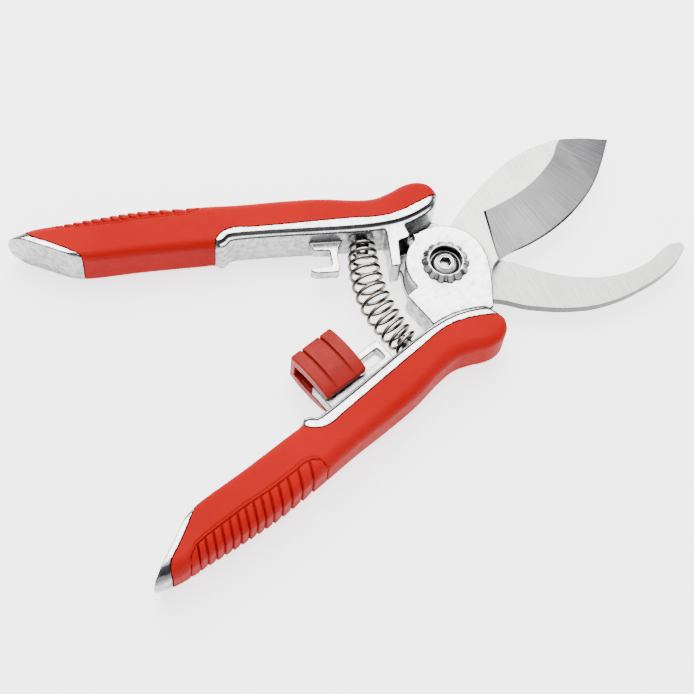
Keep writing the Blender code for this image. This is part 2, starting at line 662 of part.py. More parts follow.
def adjusting_nut():
    """Toothed crown nut: a fluted cone with a deep recess for the lock screw."""
    inner = BOLT_RADIUS + GAP
    profile = [
        (NUT_RECESS, NUT_TOP), (NUT_RING, NUT_TOP), (NUT_TIP - NUT_LIP_IN, NUT_FLANGE + NUT_LIP_UP),
        (NUT_TIP, NUT_FLANGE), (NUT_HUB, NUT_FLANGE), (NUT_HUB, NUT_LOW), (inner, NUT_LOW),
        (inner, NUT_FLOOR), (NUT_RECESS, NUT_FLOOR),
    ]
    nut = turned("adjusting_nut", profile, steps=56)
    flutes = bmesh.new()
    for tooth in range(NUT_TEETH):
        angle = 2 * math.pi * (tooth + 0.5) / NUT_TEETH
        lean = Matrix.Rotation(FLUTE_LEAN, 4, "Y")
        place = ((NUT_TIP + FLUTE_OUT) * MM, 0, (HALF + NUT_FLANGE + FLUTE_UP) * MM)
        matrix = Matrix.Rotation(angle, 4, "Z") @ Matrix.Translation(place) @ lean
        bmesh.ops.create_cone(
            flutes, cap_ends=True, segments=12, radius1=FLUTE_RADIUS * MM, radius2=FLUTE_RADIUS * MM,
            depth=FLUTE_LENGTH * MM, matrix=matrix,
        )
    mesh = bpy.data.meshes.new("flutes")
    flutes.to_mesh(mesh)
    flutes.free()
    cutter = boolean(nut, add("flutes", mesh, CUTTERS))
    cutter.use_self = True
    return finish(nut, STEEL)


def lock_screw():
    """Button-head screw with a hexagon socket."""
    shoulder = SCREW_LOW + SCREW_SKIRT
    angles = [math.radians(90 / DOME_STEPS * step) for step in range(DOME_STEPS + 1)]
    dome = [(SCREW_HEAD * math.sin(a), shoulder + (SCREW_TOP - shoulder) * math.cos(a)) for a in angles]
    shank = BOLT_THREAD - GAP
    profile = dome + [(SCREW_HEAD, SCREW_LOW), (shank, SCREW_LOW), (shank, SCREW_END), (0, SCREW_END)]
    screw = turned("lock_screw", profile)
    hexagon = cylinder("hex_socket", (0, 0), HEX_ACROSS / math.sqrt(3), HEX_FLOOR, THROUGH, CUTTERS, 6)
    boolean(screw, hexagon)
    return finish(screw, STEEL)


def return_spring():
    """Barrel-shaped compression spring, bowed between its two pegs and closed at its ends."""
    count = COILS * COIL_POINTS + 1
    curve = bpy.data.curves.new("return_spring", "CURVE")
    curve.dimensions = "3D"
    curve.bevel_depth = WIRE / 2 * MM
    curve.bevel_resolution = 2
    curve.use_fill_caps = True
    spline = curve.splines.new("POLY")
    spline.points.add(count - 1)
    upward = Vector((0, 0, 1))
    for step in range(count):
        share = step / (count - 1)
        t = share - CLOSE_ENDS * math.sin(2 * math.pi * share)
        point, heading = spring_point(min(max(t, 0.0), 1.0))
        radius = COIL_END + (COIL_MIDDLE - COIL_END) * math.sin(math.pi * share) ** BARREL
        across = Vector((-heading.y, heading.x, 0))
        angle = 2 * math.pi * COILS * share
        offset = (across * math.cos(angle) + upward * math.sin(angle)) * radius
        centre = Vector((point.x, point.y, HALF))
        spline.points[step].co = (*((centre + offset) * MM), 1)
    wire = add("return_spring", curve)
    curve.materials.append(STEEL)
    return wire


def latch_knob():
    """Moulded slider that straddles the loop, with a through slot that takes the hook's foot."""
    z_range = (-KNOB_HALF, KNOB_HALF)
    knob = slope_box("latch_knob", (KNOB_START, KNOB_END), (KNOB_LOW, KNOB_TOP), z_range, PARTS)
    rounded(knob, KNOB_ROUND, 3)
    low = KNOB_LOW - PAST_FACE
    along = (KNOB_START - PAST_FACE, KNOB_END + PAST_FACE)
    boolean(knob, slope_box("knob_slot", along, (low, SLOT_TOP), (-SLOT_HALF, SLOT_HALF)))
    floor, clear = KNOB_HALF - GROOVE_DEPTH, KNOB_HALF + PAST_FACE
    for number, groove in enumerate(GROOVES):
        u_range = (groove - GROOVE_HALF, groove + GROOVE_HALF)
        for side, heights in (("front", (floor, clear)), ("rear", (-clear, -floor))):
            boolean(knob, slope_box(f"groove_{side}_{number}", u_range, (low, KNOB_TOP + PAST_FACE), heights))
    boolean(knob, latch_cylinder("knob_pin_hole", PIN_RADIUS + SLIP, PIN_HALF + GAP, CUTTERS))
    return finish(knob, KNOB)


def latch_cylinder(name, radius, half, collection=PARTS):
    place = Matrix.Rotation(SLOPE, 4, "Z") @ Vector((*PIN_AT, 0))
    return cylinder(name, (place.x, place.y), radius, -half, half, collection, 20)


def latch_pin():
    """Steel cross pin that holds the knob on the loop and slides in its window."""
    return finish(latch_cylinder("latch_pin", PIN_RADIUS, PIN_HALF), STEEL)


lower_handle()
upper_handle()
grip("lower_grip", -1, LOWER_RIM)
grip("upper_grip", 1, UPPER_RIM)
cutting_blade()
counter_blade()
dowels()
pivot_bolt()
pivot_bush()
spring_washer()
adjusting_nut()
lock_screw()
return_spring()
latch_knob()
latch_pin()
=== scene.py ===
"""Looks of the pruning shears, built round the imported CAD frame.

Lengths in the constants are millimetres. Heights are measured from the middle plane of the handles, which
lies HALF above the plane that the shears rest on. The upper handle lies at +Y, the lower one at -Y.
"""

import math

import bmesh
import bpy
from mathutils import Matrix, Vector


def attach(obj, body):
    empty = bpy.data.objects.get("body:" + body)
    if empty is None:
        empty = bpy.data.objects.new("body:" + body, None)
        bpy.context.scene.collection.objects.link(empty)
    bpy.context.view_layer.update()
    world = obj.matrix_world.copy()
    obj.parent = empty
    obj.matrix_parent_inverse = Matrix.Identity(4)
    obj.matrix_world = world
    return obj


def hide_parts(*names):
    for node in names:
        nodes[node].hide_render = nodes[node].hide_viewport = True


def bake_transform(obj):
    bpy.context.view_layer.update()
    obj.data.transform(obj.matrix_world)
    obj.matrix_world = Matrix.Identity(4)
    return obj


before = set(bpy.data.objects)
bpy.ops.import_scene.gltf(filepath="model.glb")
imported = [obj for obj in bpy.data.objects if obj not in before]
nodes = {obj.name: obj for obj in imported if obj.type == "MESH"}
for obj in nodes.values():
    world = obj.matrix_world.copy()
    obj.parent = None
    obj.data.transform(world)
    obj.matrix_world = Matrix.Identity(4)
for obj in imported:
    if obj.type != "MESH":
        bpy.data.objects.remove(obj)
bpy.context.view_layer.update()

MM = 0.001
HALF = 7.8
GAP, SEAM = 0.3, 0.12  # clearance of the grips round the core, and beside the bare metal
GRIP_WALL = 2.3
SLOPE = math.radians(16.3)
PAST = 2.0

# Heights from the middle plane
BLADE_FACE, BLADE_BACK = 0.15, 3.1
PLATE_IN, PLATE_OUT = 3.4, 6.7
BLOCK_DEPTH, LUG_LOW = 3.1, -4.0
HOOK_HALF, LOOP_HALF = 2.1, 2.5

# Handle sections from the butt to the boss: a point on the outer side and one on the inner side
SECTIONS = [
    ((-119.8, 60.0), (-103.6, 45.0)), ((-112.9, 60.2), (-99.9, 43.0)), ((-103.7, 58.6), (-94.5, 41.3)),
    ((-91.6, 56.3), (-85.2, 38.9)), ((-79.5, 53.7), (-75.2, 36.0)), ((-68.4, 50.2), (-66.5, 33.4)),
    ((-64.6, 48.9), (-63.3, 32.5)), ((-62.8, 48.3), (-61.4, 31.1)), ((-60.8, 47.6), (-59.3, 31.2)),
    ((-58.4, 46.8), (-56.9, 32.0)), ((-49.4, 43.7), (-47.0, 29.1)), ((-37.4, 40.1), (-34.5, 24.9)),
    ((-26.4, 36.4), (-24.0, 21.3)), ((-16.7, 32.0), (-16.5, 18.9)), ((-10.5, 30.0), (-12.0, 17.8)),
    ((-5.0, 30.0), (-7.5, 17.1)), ((-0.6, 30.6), (-3.0, 17.1)), ((3.0, 30.4), (0.5, 17.6)),
    ((5.9, 29.1), (3.4, 18.3)), ((7.9, 27.0), (5.4, 19.4)), ((8.7, 24.6), (6.9, 20.8)),
    ((8.7, 23.4), (7.9, 21.9)),
]
BUTT_EDGE = [
    (-113.9, 62.0, 1), (-113.7, 57.9), (-108.6, 52.3), (-103.8, 47.4), (-101.3, 43.9), (-101.0, 40.0, 1),
    (-125.0, 40.0, 1), (-125.0, 62.0, 1),
]
UPPER_RIM = [
    (10.0, 23.5, 1), (0.0, 22.2), (-6.0, 21.6), (-12.0, 22.4), (-20.0, 25.0), (-50.0, 33.9),
    (-56.0, 35.9), (-60.2, 35.2), (-62.6, 32.6), (-63.0, 28.0, 1), (-63.0, 8.0, 1), (10.0, 8.0, 1),
]
LOWER_RIM = [
    (10.0, 23.5, 1), (5.0, 22.0), (0.0, 20.7), (-5.0, 20.1), (-10.0, 20.4), (-20.0, 23.6), (-50.0, 34.0),
    (-55.5, 35.8), (-60.0, 35.0), (-62.6, 32.6), (-63.0, 28.0, 1), (-63.0, 8.0, 1), (10.0, 8.0, 1),
]
CORE = [
    (4.2, 20.3, 1), (4.2, 24.8), (2.3, 27.0), (-1.0, 27.8), (-8.0, 26.6), (-14.0, 27.3), (-30.0, 33.0),
    (-50.0, 39.0), (-80.0, 49.0), (-100.0, 53.1), (-113.0, 55.7, 1), (-104.6, 47.9, 1), (-64.0, 36.0),
    (-56.0, 33.2), (-20.0, 21.6), (-12.0, 19.6), (-4.0, 19.2),
]
STOP_LUG = [
    (-12.0, 20.5, 1), (-12.0, 17.0, 1), (-15.7, 5.1, 1), (-12.8, 4.6, 1), (-9.8, 12.6, 1), (-6.4, 12.6, 1),
    (-5.8, 13.2, 1), (-5.8, 19.5, 1),
]
HOOK = [
    (-41.0, 15.5, 1), (-39.6, 12.6), (-38.9, 11.0, 1), (-34.0, 10.7, 1), (-34.0, 5.3, 1), (-40.3, 5.1, 1),
    (-41.0, 4.2, 1), (-39.2, 3.1, 1), (-32.4, 2.9, 1), (-31.9, 3.5, 1), (-31.3, 10.7), (-30.2, 12.8),
    (-28.6, 15.5, 1),
]
BLOCK = [
    (-11.9, 4.4, 1), (-15.8, 5.8, 1), (-12.9, 16.3, 1), (-12.7, 19.0, 1), (-8.0, 18.4, 1), (-9.9, 7.6, 1),
]
PLATE_SIDE = [(13.0, -3.0), (10.6, -11.0), (8.3, -16.4, 1), (7.0, -19.4, 1), (-12.0, -18.7, 1)]
STOP_CORNER = (-4.9, 13.1, 1)
REAR_PLATE_SIDE = [(-12.0, 19.6, 1), (5.0, 20.4, 1), (7.4, 18.2, 1), (10.8, 7.8)]
CUT_SPINE = [
    (10.0, 14.0), (20.0, 20.1), (30.0, 24.9), (40.0, 28.1), (50.0, 28.9), (60.0, 27.3), (71.2, 23.5, 1),
]
CUT_EDGE = [(65.4, 16.7), (60.4, 11.6), (50.2, 4.8), (40.1, 0.65), (30.1, -1.5), (20.1, -2.4)]
CUT_HEEL = [(17.9, -3.3), (14.7, -5.1), (11.8, -9.6), (8.6, -14.6, 1), (-7.6, -14.6, 1)]
BEVEL_LINE = [
    (21.3, 13.6), (25.0, 13.9), (30.0, 14.6), (35.0, 15.7), (40.0, 17.4), (45.0, 19.8), (50.0, 23.0),
    (56.0, 28.4), (64.0, 27.2), (71.6, 25.0),
]
BEVEL_EDGE = [
    (17.8, -3.7), (23.1, -2.2), (29.1, -1.6), (36.1, -0.35), (44.1, 2.15), (52.2, 5.85), (58.4, 9.9),
    (63.4, 14.5), (68.4, 19.9), (72.1, 23.8),
]
COUNTER_INNER = [
    (12.0, 1.0), (17.0, -1.6), (22.5, -5.6), (30.0, -12.0), (40.0, -18.1), (50.0, -21.4), (60.0, -21.6),
    (73.4, -18.6),
]
COUNTER_OUTER = [
    (75.2, -20.3), (73.0, -22.7), (65.0, -26.6), (55.0, -28.6), (45.0, -29.1), (35.0, -27.5),
    (20.0, -20.8), (11.0, -14.6),
]
COUNTER_TANG = [(-5.1, 14.6, 1), (7.4, 14.6, 1), (10.2, 8.4)]

# ---------------------------------------------------------------- shapes


def smooth_line(points, steps):
    """An open smooth line through the given points, with so many steps between two of them."""
    ends = [Vector(point) for point in points]
    ends = [2 * ends[0] - ends[1]] + ends + [2 * ends[-1] - ends[-2]]
    line = []
    for before, first, second, after in zip(ends, ends[1:], ends[2:], ends[3:]):
        for step in range(steps):
            t = step / steps
            bend = 2 * before - 5 * first + 4 * second - after
            twist = 3 * (first - second) + after - before
            line.append(first + ((second - before) * t + bend * t * t + twist * t**3) / 2)
    return line + [ends[-2]]


def resampled(line, spacing):
    """The same line with evenly spaced points."""
    lengths = [0.0]
    for first, second in zip(line, line[1:]):
        lengths.append(lengths[-1] + (second - first).length)
    count = max(2, round(lengths[-1] / spacing))
    spaced = []
    index = 0
    for step in range(count + 1):
        target = lengths[-1] * step / count
        while index < len(line) - 2 and lengths[index + 1] < target:
            index += 1
        span = max(lengths[index + 1] - lengths[index], 1e-9)
        spaced.append(line[index].lerp(line[index + 1], (target - lengths[index]) / span))
    return spaced


def add(name, mesh):
    made = bpy.data.objects.new(name, mesh)
    bpy.context.scene.collection.objects.link(made)
    return made


def drop(obj):
    bpy.data.objects.remove(obj, do_unlink=True)


def from_rings(name, rings):
    """A closed tube through rings of points in millimetres, with flat caps."""
    shape = bmesh.new()
    made = [[shape.verts.new((x * MM, y * MM, (HALF + z) * MM)) for x, y, z in ring] for ring in rings]
    for first, second in zip(made, made[1:]):
        for i in range(len(first)):
            j = (i + 1) % len(first)
            shape.faces.new((first[i], first[j], second[j], second[i]))
    shape.faces.new(made[0])
    shape.faces.new(made[-1])
    bmesh.ops.recalc_face_normals(shape, faces=shape.faces)
    mesh = bpy.data.meshes.new(name)
    shape.to_mesh(mesh)
    shape.free()
    return add(name, mesh)


def mirrored(points):
    """The same outline on the other side of the X axis, with its corner marks."""
    return [(point[0], -point[1], *point[2:]) for point in points]


def from_slope(points, side):
    """Points given along a handle and out from the pivot, as points of the plan."""
    along = Vector((math.cos(SLOPE), -side * math.sin(SLOPE)))
    out = Vector((math.sin(SLOPE), side * math.cos(SLOPE)))
    placed = []
    for u, n, *corner in points:
        place = along * u + out * n
        placed.append((place.x, place.y, *corner))
    return placed


def arc(radius, start, end, steps):
    angles = [math.radians(start + (end - start) * i / steps) for i in range(steps + 1)]
    return [(radius * math.cos(a), radius * math.sin(a)) for a in angles]


def prism(name, points, low, high, detail=8):
    """An extruded smooth outline. A third value marks a corner."""
    curve = bpy.data.curves.new(name, "CURVE")
    curve.dimensions = "2D"
    curve.fill_mode = "BOTH"
    curve.resolution_u = detail
    curve.extrude = (high - low) / 2 * MM
    spline = curve.splines.new("BEZIER")
    spline.bezier_points.add(len(points) - 1)
    for knot, point in zip(spline.bezier_points, points):
        knot.co = (point[0] * MM, point[1] * MM, 0)
        kind = "VECTOR" if len(point) > 2 else "AUTO"
        knot.handle_left_type = kind
        knot.handle_right_type = kind
    spline.use_cyclic_u = True
    guide = add(name + "_guide", curve)
    bpy.context.view_layer.update()
    graph = bpy.context.evaluated_depsgraph_get()
    mesh = bpy.data.meshes.new_from_object(guide.evaluated_get(graph))
    drop(guide)
    mesh.transform(Matrix.Translation((0, 0, (HALF + (low + high) / 2) * MM)))
    shape = bmesh.new()
    shape.from_mesh(mesh)
    bmesh.ops.remove_doubles(shape, verts=shape.verts, dist=1e-6)
    bmesh.ops.dissolve_limit(
        shape, angle_limit=math.radians(0.2), verts=shape.verts, edges=shape.edges,
    )
    bmesh.ops.recalc_face_normals(shape, faces=shape.faces)
    shape.to_mesh(mesh)
    shape.free()
    return add(name, mesh)


def grown(obj, by):
    """Moves the walls and the caps of a prism outwards."""
    shape = bmesh.new()
    shape.from_mesh(obj.data)
    moves = {}
    for vert in shape.verts:
        walls = [face.normal for face in vert.link_faces if abs(face.normal.z) < 0.5]
        cap = [face.normal for face in vert.link_faces if abs(face.normal.z) > 0.5][0]
        first, second = walls[0], walls[-1]
        moves[vert] = (first + second) * (by * MM / (1 + first.dot(second))) + cap * by * MM
    for vert, move in moves.items():
        vert.co += move
    shape.to_mesh(obj.data)
    shape.free()
    return obj


def solid(name, make, matrix):
    shape = bmesh.new()
    make(shape)
    shape.transform(matrix)
    mesh = bpy.data.meshes.new(name)
    shape.to_mesh(mesh)
    shape.free()
    return add(name, mesh)


def cylinder(name, place, radius, low, high, segments=64):
    def make(shape):
        bmesh.ops.create_cone(
            shape, cap_ends=True, segments=segments, radius1=radius * MM,
            radius2=radius * MM, depth=(high - low) * MM,
        )

    middle = Matrix.Translation((place[0] * MM, place[1] * MM, (HALF + (low + high) / 2) * MM))
    return solid(name, make, middle)


def slope_matrix():
    return Matrix.Translation((0, 0, HALF * MM)) @ Matrix.Rotation(SLOPE, 4, "Z")


def slope_box(name, u_range, n_range, z_range):
    """A box along the lower handle: u runs towards the pivot, n away from the lower handle."""
    ranges = (u_range, n_range, z_range)

    def make(shape):
        bmesh.ops.create_cube(shape, size=1.0)
        bmesh.ops.scale(shape, vec=[(high - low) * MM for low, high in ranges], verts=shape.verts)
        bmesh.ops.translate(shape, vec=[(low + high) / 2 * MM for low, high in ranges], verts=shape.verts)

    return solid(name, make, slope_matrix())


def turned(name, profile, steps=96):
    """A profile of (radius, height) from the top down to the axis or round to its start."""
    shape = bmesh.new()
    rings = []
    for radius, height in profile:
        if radius == 0:
            rings.append([shape.verts.new((0, 0, (HALF + height) * MM))])
            continue
        rings.append([
            shape.verts.new((
                radius * MM * math.cos(2 * math.pi * i / steps),
                radius * MM * math.sin(2 * math.pi * i / steps),
                (HALF + height) * MM,
            ))
            for i in range(steps)
        ])
    pairs = list(zip(rings, rings[1:]))
    if len(rings[0]) > 1 and len(rings[-1]) > 1:
        pairs.append((rings[-1], rings[0]))
    for first, second in pairs:
        for i in range(steps):
            j = (i + 1) % steps
            corners = [first[i % len(first)], first[j % len(first)]]
            corners += [second[j % len(second)], second[i % len(second)]]
            shape.faces.new(list(dict.fromkeys(corners)))
    bmesh.ops.recalc_face_normals(shape, faces=shape.faces)
    mesh = bpy.data.meshes.new(name)
    shape.to_mesh(mesh)
    shape.free()
    return add(name, mesh)


def applied(obj):
    """Puts the modifiers' result into the mesh."""
    bpy.context.view_layer.update()
    graph = bpy.context.evaluated_depsgraph_get()
    mesh = bpy.data.meshes.new_from_object(obj.evaluated_get(graph))
    obj.modifiers.clear()
    obj.data = mesh
    return obj


def combine(obj, others, operation="DIFFERENCE"):
    """Boolean of the object with each of the others in turn, which are used up."""
    for other in others:
        modifier = obj.modifiers.new(other.name, "BOOLEAN")
        modifier.operation = operation
        modifier.object = other
        modifier.solver = "EXACT"
    applied(obj)
    for other in others:
        drop(other)
    return obj


def softened(obj, voxel, passes, ratio):
    """Rounds every edge and fillets every corner a little, as casting and moulding do."""
    remesh = obj.modifiers.new("voxels", "REMESH")
    remesh.mode = "VOXEL"
    remesh.voxel_size = voxel * MM
    smooth = obj.modifiers.new("smooth", "SMOOTH")
    smooth.factor = 0.5
    smooth.iterations = passes
    thin = obj.modifiers.new("thin", "DECIMATE")
    thin.ratio = ratio
    applied(obj)
    obj.data.shade_smooth()
    return obj


def edged(obj, width, segments=3, angle=40):
    bevel = obj.modifiers.new("edges", "BEVEL")
    bevel.width = width * MM
    bevel.segments = segments
    bevel.limit_method = "ANGLE"
    bevel.angle_limit = math.radians(angle)
    applied(obj)
    return obj


def smooth_by_angle(obj, angle=30):
    obj.data.shade_smooth()
    obj.data.set_sharp_from_angle(angle=math.radians(angle))
    return obj


def piece(obj, material, body, slot, *replaced):
    obj.data.materials.clear()
    obj.data.materials.append(material)
    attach(obj, body)
    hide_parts(*replaced)
    return obj


# ---------------------------------------------------------------- handles

FACE_STEPS, FINE_STEPS, OUTER_STEPS, SIDE_STEPS, INNER_STEPS = 9, 12, 22, 8, 6
FINE_FACE = 3.0  # how far in from the rounded side the face is finely divided
OUTER_ROUND = [(-120.0, 6.6), (-112.0, 5.6), (-95.0, 4.6), (-50.0, 4.2), (-10.0, 4.0), (7.0, 3.0)]
BARE_ROUND, GRIP_ROUND = 1.0, 3.0  # rounding of the inner side where it is bare metal and where it is grip
MOST_ROUND, MOST_INNER, MOST_PANEL = 0.45, 0.4, 0.6  # most that a rounding or the panel takes of the width
PANEL_LEAD = 4.0  # a section crosses the panel's border this much nearer the boss than its outer end
LINE_STEPS = 40
ALONG_STEP = 0.9
RIBBED_STEP = 0.24
RIB_START, RIB_END, RIB_MARGIN = -71.0, -121.0, 3.0
FIRST_RIB = -77.4
RIB_PITCHES = [4.3, 3.95, 3.6, 3.25, 2.9] + [2.8] * 8
RIB_DEPTH = 0.8
RIB_LEAN = 0.4  # how far a rib runs towards the boss, per mm in from the outer side
RIB_GROOVE = 0.38
RIB_LOBE = 0.55  # how deep a rib starts beside its groove, as a share of the groove's depth
RIB_FADE = 0.5  # the width over which the ribs rise from the panel's border
RIB_REACH = 9.0
BORDER = [(-121.0, -0.5), (-119.0, 3.0), (-116.0, 5.3), (-112.0, 6.0), (-106.0, 6.4), (-98.0, 6.8),
          (-92.0, 6.6), (-85.0, 6.3), (-80.0, 5.9), (-76.5, 5.9), (-74.0, 5.0), (-72.4, 3.4), (-71.6, -0.5)]
UPPER_BORDER = -2.5  # the upper panel's border runs this much nearer to the outer side
BORDER_GROOVE, BORDER_DEPTH = 0.34, 0.5
SECOND_BORDER, SECOND_SHARE = 1.0, 0.5  # a fainter groove so far past the border, and its share of depth
LEDGE_START = -61.5
LEDGE_PROFILE = [(0.0, 1.0), (0.35, 0.9), (0.66, 0.8), (0.82, 0.66), (0.9, 0.3), (0.97, 0.06)]
TIP_LENGTH, TIP_DROP, TIP_STEP = 6.0, 4.2, 0.25


def between(table, place):
    """Straight-line value of a table of (place, value) pairs."""
    ordered = sorted(table)
    for (first, low), (second, high) in zip(ordered, ordered[1:]):
        if first <= place <= second:
            return low + (high - low) * (place - first) / (second - first)
    return ordered[0][1] if place < ordered[0][0] else ordered[-1][1]


def handle_place(point):
    """How far a point of the upper handle lies along the handle, from the pivot."""
    return point.x * math.cos(SLOPE) - point.y * math.sin(SLOPE)


def rib_depth(along, across, shift):
    """How far the ribbed panel lies below the plain grip, at a place along it and in from its outer side."""
    if not RIB_END < along < RIB_START:
        return 0.0
    border = between(BORDER, along) + shift
    second = border + SECOND_BORDER
    depth = BORDER_DEPTH * math.exp(-(((across - border) / BORDER_GROOVE) ** 2))
    depth += SECOND_SHARE * BORDER_DEPTH * math.exp(-(((across - second) / BORDER_GROOVE) ** 2))
    if across > border:
        return depth
    inside = min(1.0, (border - across) / RIB_FADE)
    place = along - RIB_LEAN * across
    groove = FIRST_RIB
    nearest = abs(place - groove)
    lobe = 0.0
    for pitch in RIB_PITCHES:
        if groove >= place > groove - pitch:
            share = (groove - place) / pitch
            lobe = RIB_LOBE * (1 - share) ** 2
            nearest = min(groove - place, place - groove + pitch)
        groove -= pitch
    cut = math.exp(-((nearest / RIB_GROOVE) ** 2))
    return depth + inside * RIB_DEPTH * max(cut, lobe)


def tip_height(left):
    """Half thickness of a handle, so far from its boss end, which is rounded like a fingertip."""
    share = 1 - min(1.0, left / TIP_LENGTH)
    return HALF - TIP_DROP * (1 - math.sqrt(1 - share * share))


def section_ring(outer, inner, top, ribs, ledge):
    """One closed section of a handle: front face, rounded outer side, back face and inner side."""
    across = inner - outer
    width = across.length
    unit = across / width
    soft = min(between(OUTER_ROUND, outer.x), width * MOST_ROUND)
    reach = soft
    if ribs is not None:
        border = between(BORDER, handle_place(outer) + PANEL_LEAD) + ribs
        reach = max(soft, min(border, width * MOST_PANEL))
    bare = inner.x > LEDGE_START
    inner_round = min(BARE_ROUND if bare else GRIP_ROUND, width * MOST_INNER)
    if ledge and bare:
        wide, drop_by = ledge
        wide = min(wide, width * MOST_INNER)
    else:
        wide, drop_by = inner_round, inner_round
    half = []
    fine = min(reach + FINE_FACE, (reach + width - wide) / 2)
    for step in range(FACE_STEPS):
        half.append((width - wide + (fine - width + wide) * step / FACE_STEPS, top, 0.0, 1.0))
    for step in range(FINE_STEPS):
        half.append((fine + (reach - fine) * step / FINE_STEPS, top, 0.0, 1.0))
    for step in range(OUTER_STEPS + 1):
        t = math.pi / 2 * step / OUTER_STEPS
        half.append((reach - reach * math.sin(t), top - soft + soft * math.cos(t), -math.sin(t), math.cos(t)))
    for step in range(1, SIDE_STEPS):
        half.append((0.0, (top - soft) * (1 - step / SIDE_STEPS), -1.0, 0.0))
    inner_half = []
    for step in range(INNER_STEPS):
        t = math.pi / 2 * step / INNER_STEPS
        if ledge and bare:
            share, fallen = LEDGE_PROFILE[step]
            inner_half.append((width - wide * share, top - drop_by * fallen, 0.0, 0.0))
        else:
            place = width - inner_round + inner_round * math.cos(t)
            inner_half.append((place, top - inner_round + inner_round * math.sin(t), 0.0, 0.0))
    low_edge = inner_half[0][1]
    side = [(width, low_edge * step / SIDE_STEPS, 0.0, 0.0) for step in range(1, SIDE_STEPS)]
    front = side + inner_half + half
    back = [(a, -z, na, -nz) for a, z, na, nz in reversed(front)]
    middle_outer = [(0.0, 0.0, -1.0, 0.0)]
    middle_inner = [(width, 0.0, 0.0, 0.0)]
    ring = []
    for a, z, na, nz in front + middle_outer + back + middle_inner:
        depth = 0.0
        if ribs is not None and (na or nz) and a < RIB_REACH:
            depth = rib_depth(handle_place(outer + unit * a), a, ribs)
        place = outer + unit * (a - na * depth)
        ring.append((place.x, place.y, z - nz * depth))
    return ring


def handle_form(name, sign, ribs=None, ledge=None):
    """The outer form of a handle, lofted from its butt to its boss end."""
    outer_line = smooth_line([outer for outer, inner in SECTIONS], LINE_STEPS)
    inner_line = smooth_line([inner for outer, inner in SECTIONS], LINE_STEPS)
    lengths = [0.0]
    for first, second in zip(outer_line, outer_line[1:]):
        lengths.append(lengths[-1] + (second - first).length)
    rings = []
    reached = -1.0
    for index, travelled in enumerate(lengths):
        along = handle_place(outer_line[index])
        ribbed = ribs is not None and RIB_END - RIB_MARGIN < along < RIB_START + RIB_MARGIN
        step = RIBBED_STEP if ribbed else ALONG_STEP
        step = TIP_STEP if lengths[-1] - travelled < TIP_LENGTH else step
        if travelled - reached < step and index < len(lengths) - 1:
            continue
        reached = travelled
        top = tip_height(lengths[-1] - travelled)
        rings.append(section_ring(outer_line[index], inner_line[index], top, ribs, ledge))
    rings = [[(x, sign * y, z) for x, y, z in ring] for ring in rings]
    return from_rings(name, rings)


def side_points(points, sign):
    """An outline drawn for the upper handle, brought to either side."""
    return points if sign > 0 else mirrored(points)


def casting_blank(name, sign, rim_edge, ledge):
    """Bare rim and butt at full thickness, joined by a core inside the grip."""
    casting = handle_form(name, sign, ledge=ledge)
    bare = prism(name + "_bare", side_points(rim_edge, sign), -HALF - PAST, HALF + PAST)
    butt = prism(name + "_butt", side_points(BUTT_EDGE, sign), -HALF - PAST, HALF + PAST)
    rest = handle_form(name + "_rest", sign)
    combine(casting, [bare], "INTERSECT")
    combine(rest, [butt], "INTERSECT")
    core = prism(name + "_core", side_points(CORE, sign), -HALF + GRIP_WALL, HALF - GRIP_WALL, 3)
    return combine(casting, [core, rest], "UNION")


def grip_piece(name, sign, rim_edge):
    """The moulded sleeve with its ribbed panel, cut back to the casting's bare rim and butt."""
    sleeve = handle_form(name, sign, ribs=UPPER_BORDER if sign > 0 else 0.0)
    cutters = [
        grown(prism(name + "_rim", side_points(rim_edge, sign), -HALF - PAST, HALF + PAST), SEAM),
        grown(prism(name + "_butt", side_points(BUTT_EDGE, sign), -HALF - PAST, HALF + PAST), SEAM),
        grown(prism(name + "_core", side_points(CORE, sign), -HALF + GRIP_WALL, HALF - GRIP_WALL, 3), GAP),
    ]
    combine(sleeve, cutters)
    return smooth_by_angle(sleeve, 32)


SPRING_TOP, SPRING_LOW = Vector((-19.0, 18.6)), Vector((-20.7, -19.2))
SPRING_BOW = 3.9
COILS = 12
WIRE = 1.15
CLOSE_ENDS = 0.03
COIL_END, COIL_MIDDLE = 3.55, 4.8
COIL_STEPS, WIRE_SIDES = 40, 10
COIL_SWELL = 0.7
PEG_RADIUS, PEG_TAPER, PEG_LENGTH, PEG_ROOT = 2.3, 0.4, 4.0, 2.4


def spring_point(t):
    """A point of the spring's bowed middle line, and its direction there, at t from 0 to 1."""
    side = (SPRING_LOW - SPRING_TOP).normalized().orthogonal()
    point = SPRING_TOP.lerp(SPRING_LOW, t) - side * (4 * SPRING_BOW * t * (1 - t))
    heading = (SPRING_LOW - SPRING_TOP) - side * (4 * SPRING_BOW * (1 - 2 * t))
    return point, heading.normalized()


def spring_peg(name, t):
    point, heading = spring_point(t)
    inward = heading if t < 0.5 else -heading
    point = point + inward * (PEG_LENGTH - PEG_ROOT) / 2

    def make(shape):
        bmesh.ops.create_cone(
            shape, cap_ends=True, segments=40, radius1=PEG_RADIUS * MM, radius2=(PEG_RADIUS - PEG_TAPER) * MM,
            depth=(PEG_LENGTH + PEG_ROOT) * MM,
        )

    facing = Vector((inward.x, inward.y, 0)).to_track_quat("Z", "Y").to_matrix().to_4x4()
    return solid(name, make, Matrix.Translation((point.x * MM, point.y * MM, HALF * MM)) @ facing)


